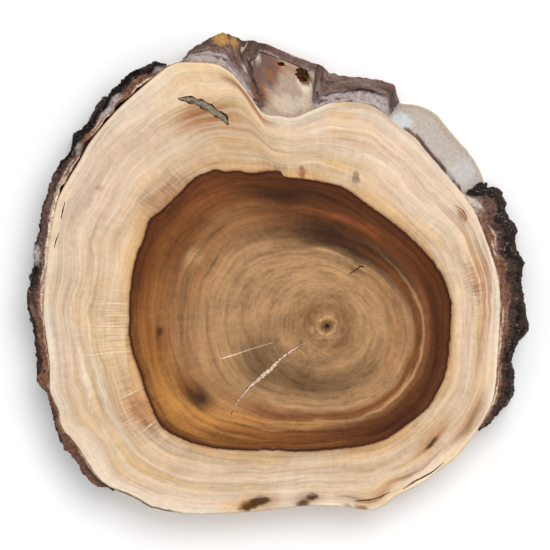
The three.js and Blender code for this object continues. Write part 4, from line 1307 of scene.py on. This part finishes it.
class WOODSLICE_OT_bark(bpy.types.Operator):
    """Builds the three patches of bark"""

    bl_idname = "woodslice.bark"
    bl_label = "Bark"

    def execute(self, context):
        materials = {
            # Dull near-black and brown crumbs with pale specks, which are painted highlights and dry grey
            # scales.
            "rough_bark": tinted_rough("Fruitwood bark, rough and furrowed", 1.9, 0.75, 0.125, 0.95, 1.2),
            # Thin purple-brown skin, softly mottled.
            "smooth_bark": tinted_rough("Fruitwood bark, smooth and weathered", 2.6, 0.45, 0.08, 0.85, 0.7),
        }
        for patch in BARK_PATCHES:
            places, blocks = bent_block(patch)
            along, across, level = places.T
            points, relief = bark_point(patch, along, across, level)
            piece = mesh_polygons(patch["node"] + "_grown", points, blocks, [materials[patch["slot"]]], 0)
            recalculate(piece)
            store(piece.data, "tint", bark_tint(patch, along, across, level, relief))
            smooth(piece, 32)
            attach(piece, "root")
            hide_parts(patch["node"])
        return {"FINISHED"}


def recalculate(piece):
    """Turns all faces of a closed piece outwards."""
    work = bmesh.new()
    work.from_mesh(piece.data)
    bmesh.ops.recalc_face_normals(work, faces=work.faces)
    work.to_mesh(piece.data)
    work.free()


# The camera, how wide a view it has of the slice, and where the middle of the photo lies in the drawing.
# The floor and the height of the camera are in metres.
CAMERA_HEIGHT = 5.0
CAMERA_VIEW_MM = 330
SENSOR_MM = 36
PHOTO_CENTRE = (-1.5, -2.4)
FLOOR_REACH = 4.0
SKY_STRENGTH = 0.86
# The soft light: where it hangs, how wide it is and its power in watts.
KEY_LIGHT = {"place": (0.5, 0.75, 2.2), "width": 1.4, "power": 24.0}


class WOODSLICE_OT_stage(bpy.types.Operator):
    """Sets up the floor, the soft studio light and the camera straight above"""

    bl_idname = "woodslice.stage"
    bl_label = "Stage"

    def execute(self, context):
        scene = context.scene
        scene.view_settings.view_transform = "Standard"
        # A plain pale ground without a sheen, on which only soft shadows show.
        material, tree = new_material("Studio floor, matt white board")
        shader = add(tree, "ShaderNodeBsdfPrincipled", {
            "Base Color": (*colour("floor"), 1), "Roughness": 0.9, "Specular IOR Level": 0.1})
        add(tree, "ShaderNodeOutputMaterial", {"Surface": shader.outputs[0]})
        mesh = bpy.data.meshes.new("floor")
        corners = [(x * FLOOR_REACH, y * FLOOR_REACH, 0) for x, y in ((-1, -1), (1, -1), (1, 1), (-1, 1))]
        mesh.from_pydata(corners, [], [(0, 1, 2, 3)])
        mesh.materials.append(material)
        floor = bpy.data.objects.new("floor", mesh)
        scene.collection.objects.link(floor)
        floor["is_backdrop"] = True

        world = bpy.data.worlds.new("Studio")
        world.use_nodes = True
        world.node_tree.nodes["Background"].inputs["Color"].default_value = (1, 1, 1, 1)
        world.node_tree.nodes["Background"].inputs["Strength"].default_value = SKY_STRENGTH
        scene.world = world
        light = bpy.data.lights.new("key", "AREA")
        light.size = KEY_LIGHT["width"]
        light.energy = KEY_LIGHT["power"]
        lamp = bpy.data.objects.new("key", light)
        lamp.location = KEY_LIGHT["place"]
        lamp.rotation_euler = (-Vector(KEY_LIGHT["place"])).to_track_quat("-Z", "Y").to_euler()
        scene.collection.objects.link(lamp)
        lamp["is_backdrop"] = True

        camera = bpy.data.cameras.new("camera")
        camera.sensor_width = SENSOR_MM
        camera.lens = SENSOR_MM * CAMERA_HEIGHT / (CAMERA_VIEW_MM * MM)
        camera.clip_end = 100
        holder = bpy.data.objects.new("camera", camera)
        aim = (np.array(PHOTO_CENTRE) + SHIFT) * MM
        holder.location = (aim[0], aim[1], THICKNESS * MM + CAMERA_HEIGHT)
        scene.collection.objects.link(holder)
        scene.camera = holder
        return {"FINISHED"}


class WOODSLICE_PT_panel(bpy.types.Panel):
    """Lists the sizes, the colours and the operators"""

    bl_idname = "WOODSLICE_PT_panel"
    bl_label = "Wood Slice"
    bl_space_type = "VIEW_3D"
    bl_region_type = "UI"
    bl_category = "Wood Slice"

    def draw(self, context):
        for group in (context.scene.wood_slice_sizes, context.scene.wood_slice_colours):
            box = self.layout.box()
            for name in group.__annotations__:
                box.prop(group, name)
        for operator in (WOODSLICE_OT_wood, WOODSLICE_OT_fillings, WOODSLICE_OT_bark, WOODSLICE_OT_stage):
            self.layout.operator(operator.bl_idname)


CLASSES = (WoodSliceSizes, WoodSliceColours, WOODSLICE_OT_wood, WOODSLICE_OT_fillings, WOODSLICE_OT_bark,
           WOODSLICE_OT_stage, WOODSLICE_PT_panel)


def register():
    for item in CLASSES:
        bpy.utils.register_class(item)
    bpy.types.Scene.wood_slice_sizes = bpy.props.PointerProperty(type=WoodSliceSizes)
    bpy.types.Scene.wood_slice_colours = bpy.props.PointerProperty(type=WoodSliceColours)


def unregister():
    del bpy.types.Scene.wood_slice_colours
    del bpy.types.Scene.wood_slice_sizes
    for item in reversed(CLASSES):
        bpy.utils.unregister_class(item)


def main():
    """Builds the slice and its stage."""
    register()
    bpy.ops.woodslice.wood()
    bpy.ops.woodslice.fillings()
    bpy.ops.woodslice.bark()
    bpy.ops.woodslice.stage()


if __name__ == "__main__":
    main()
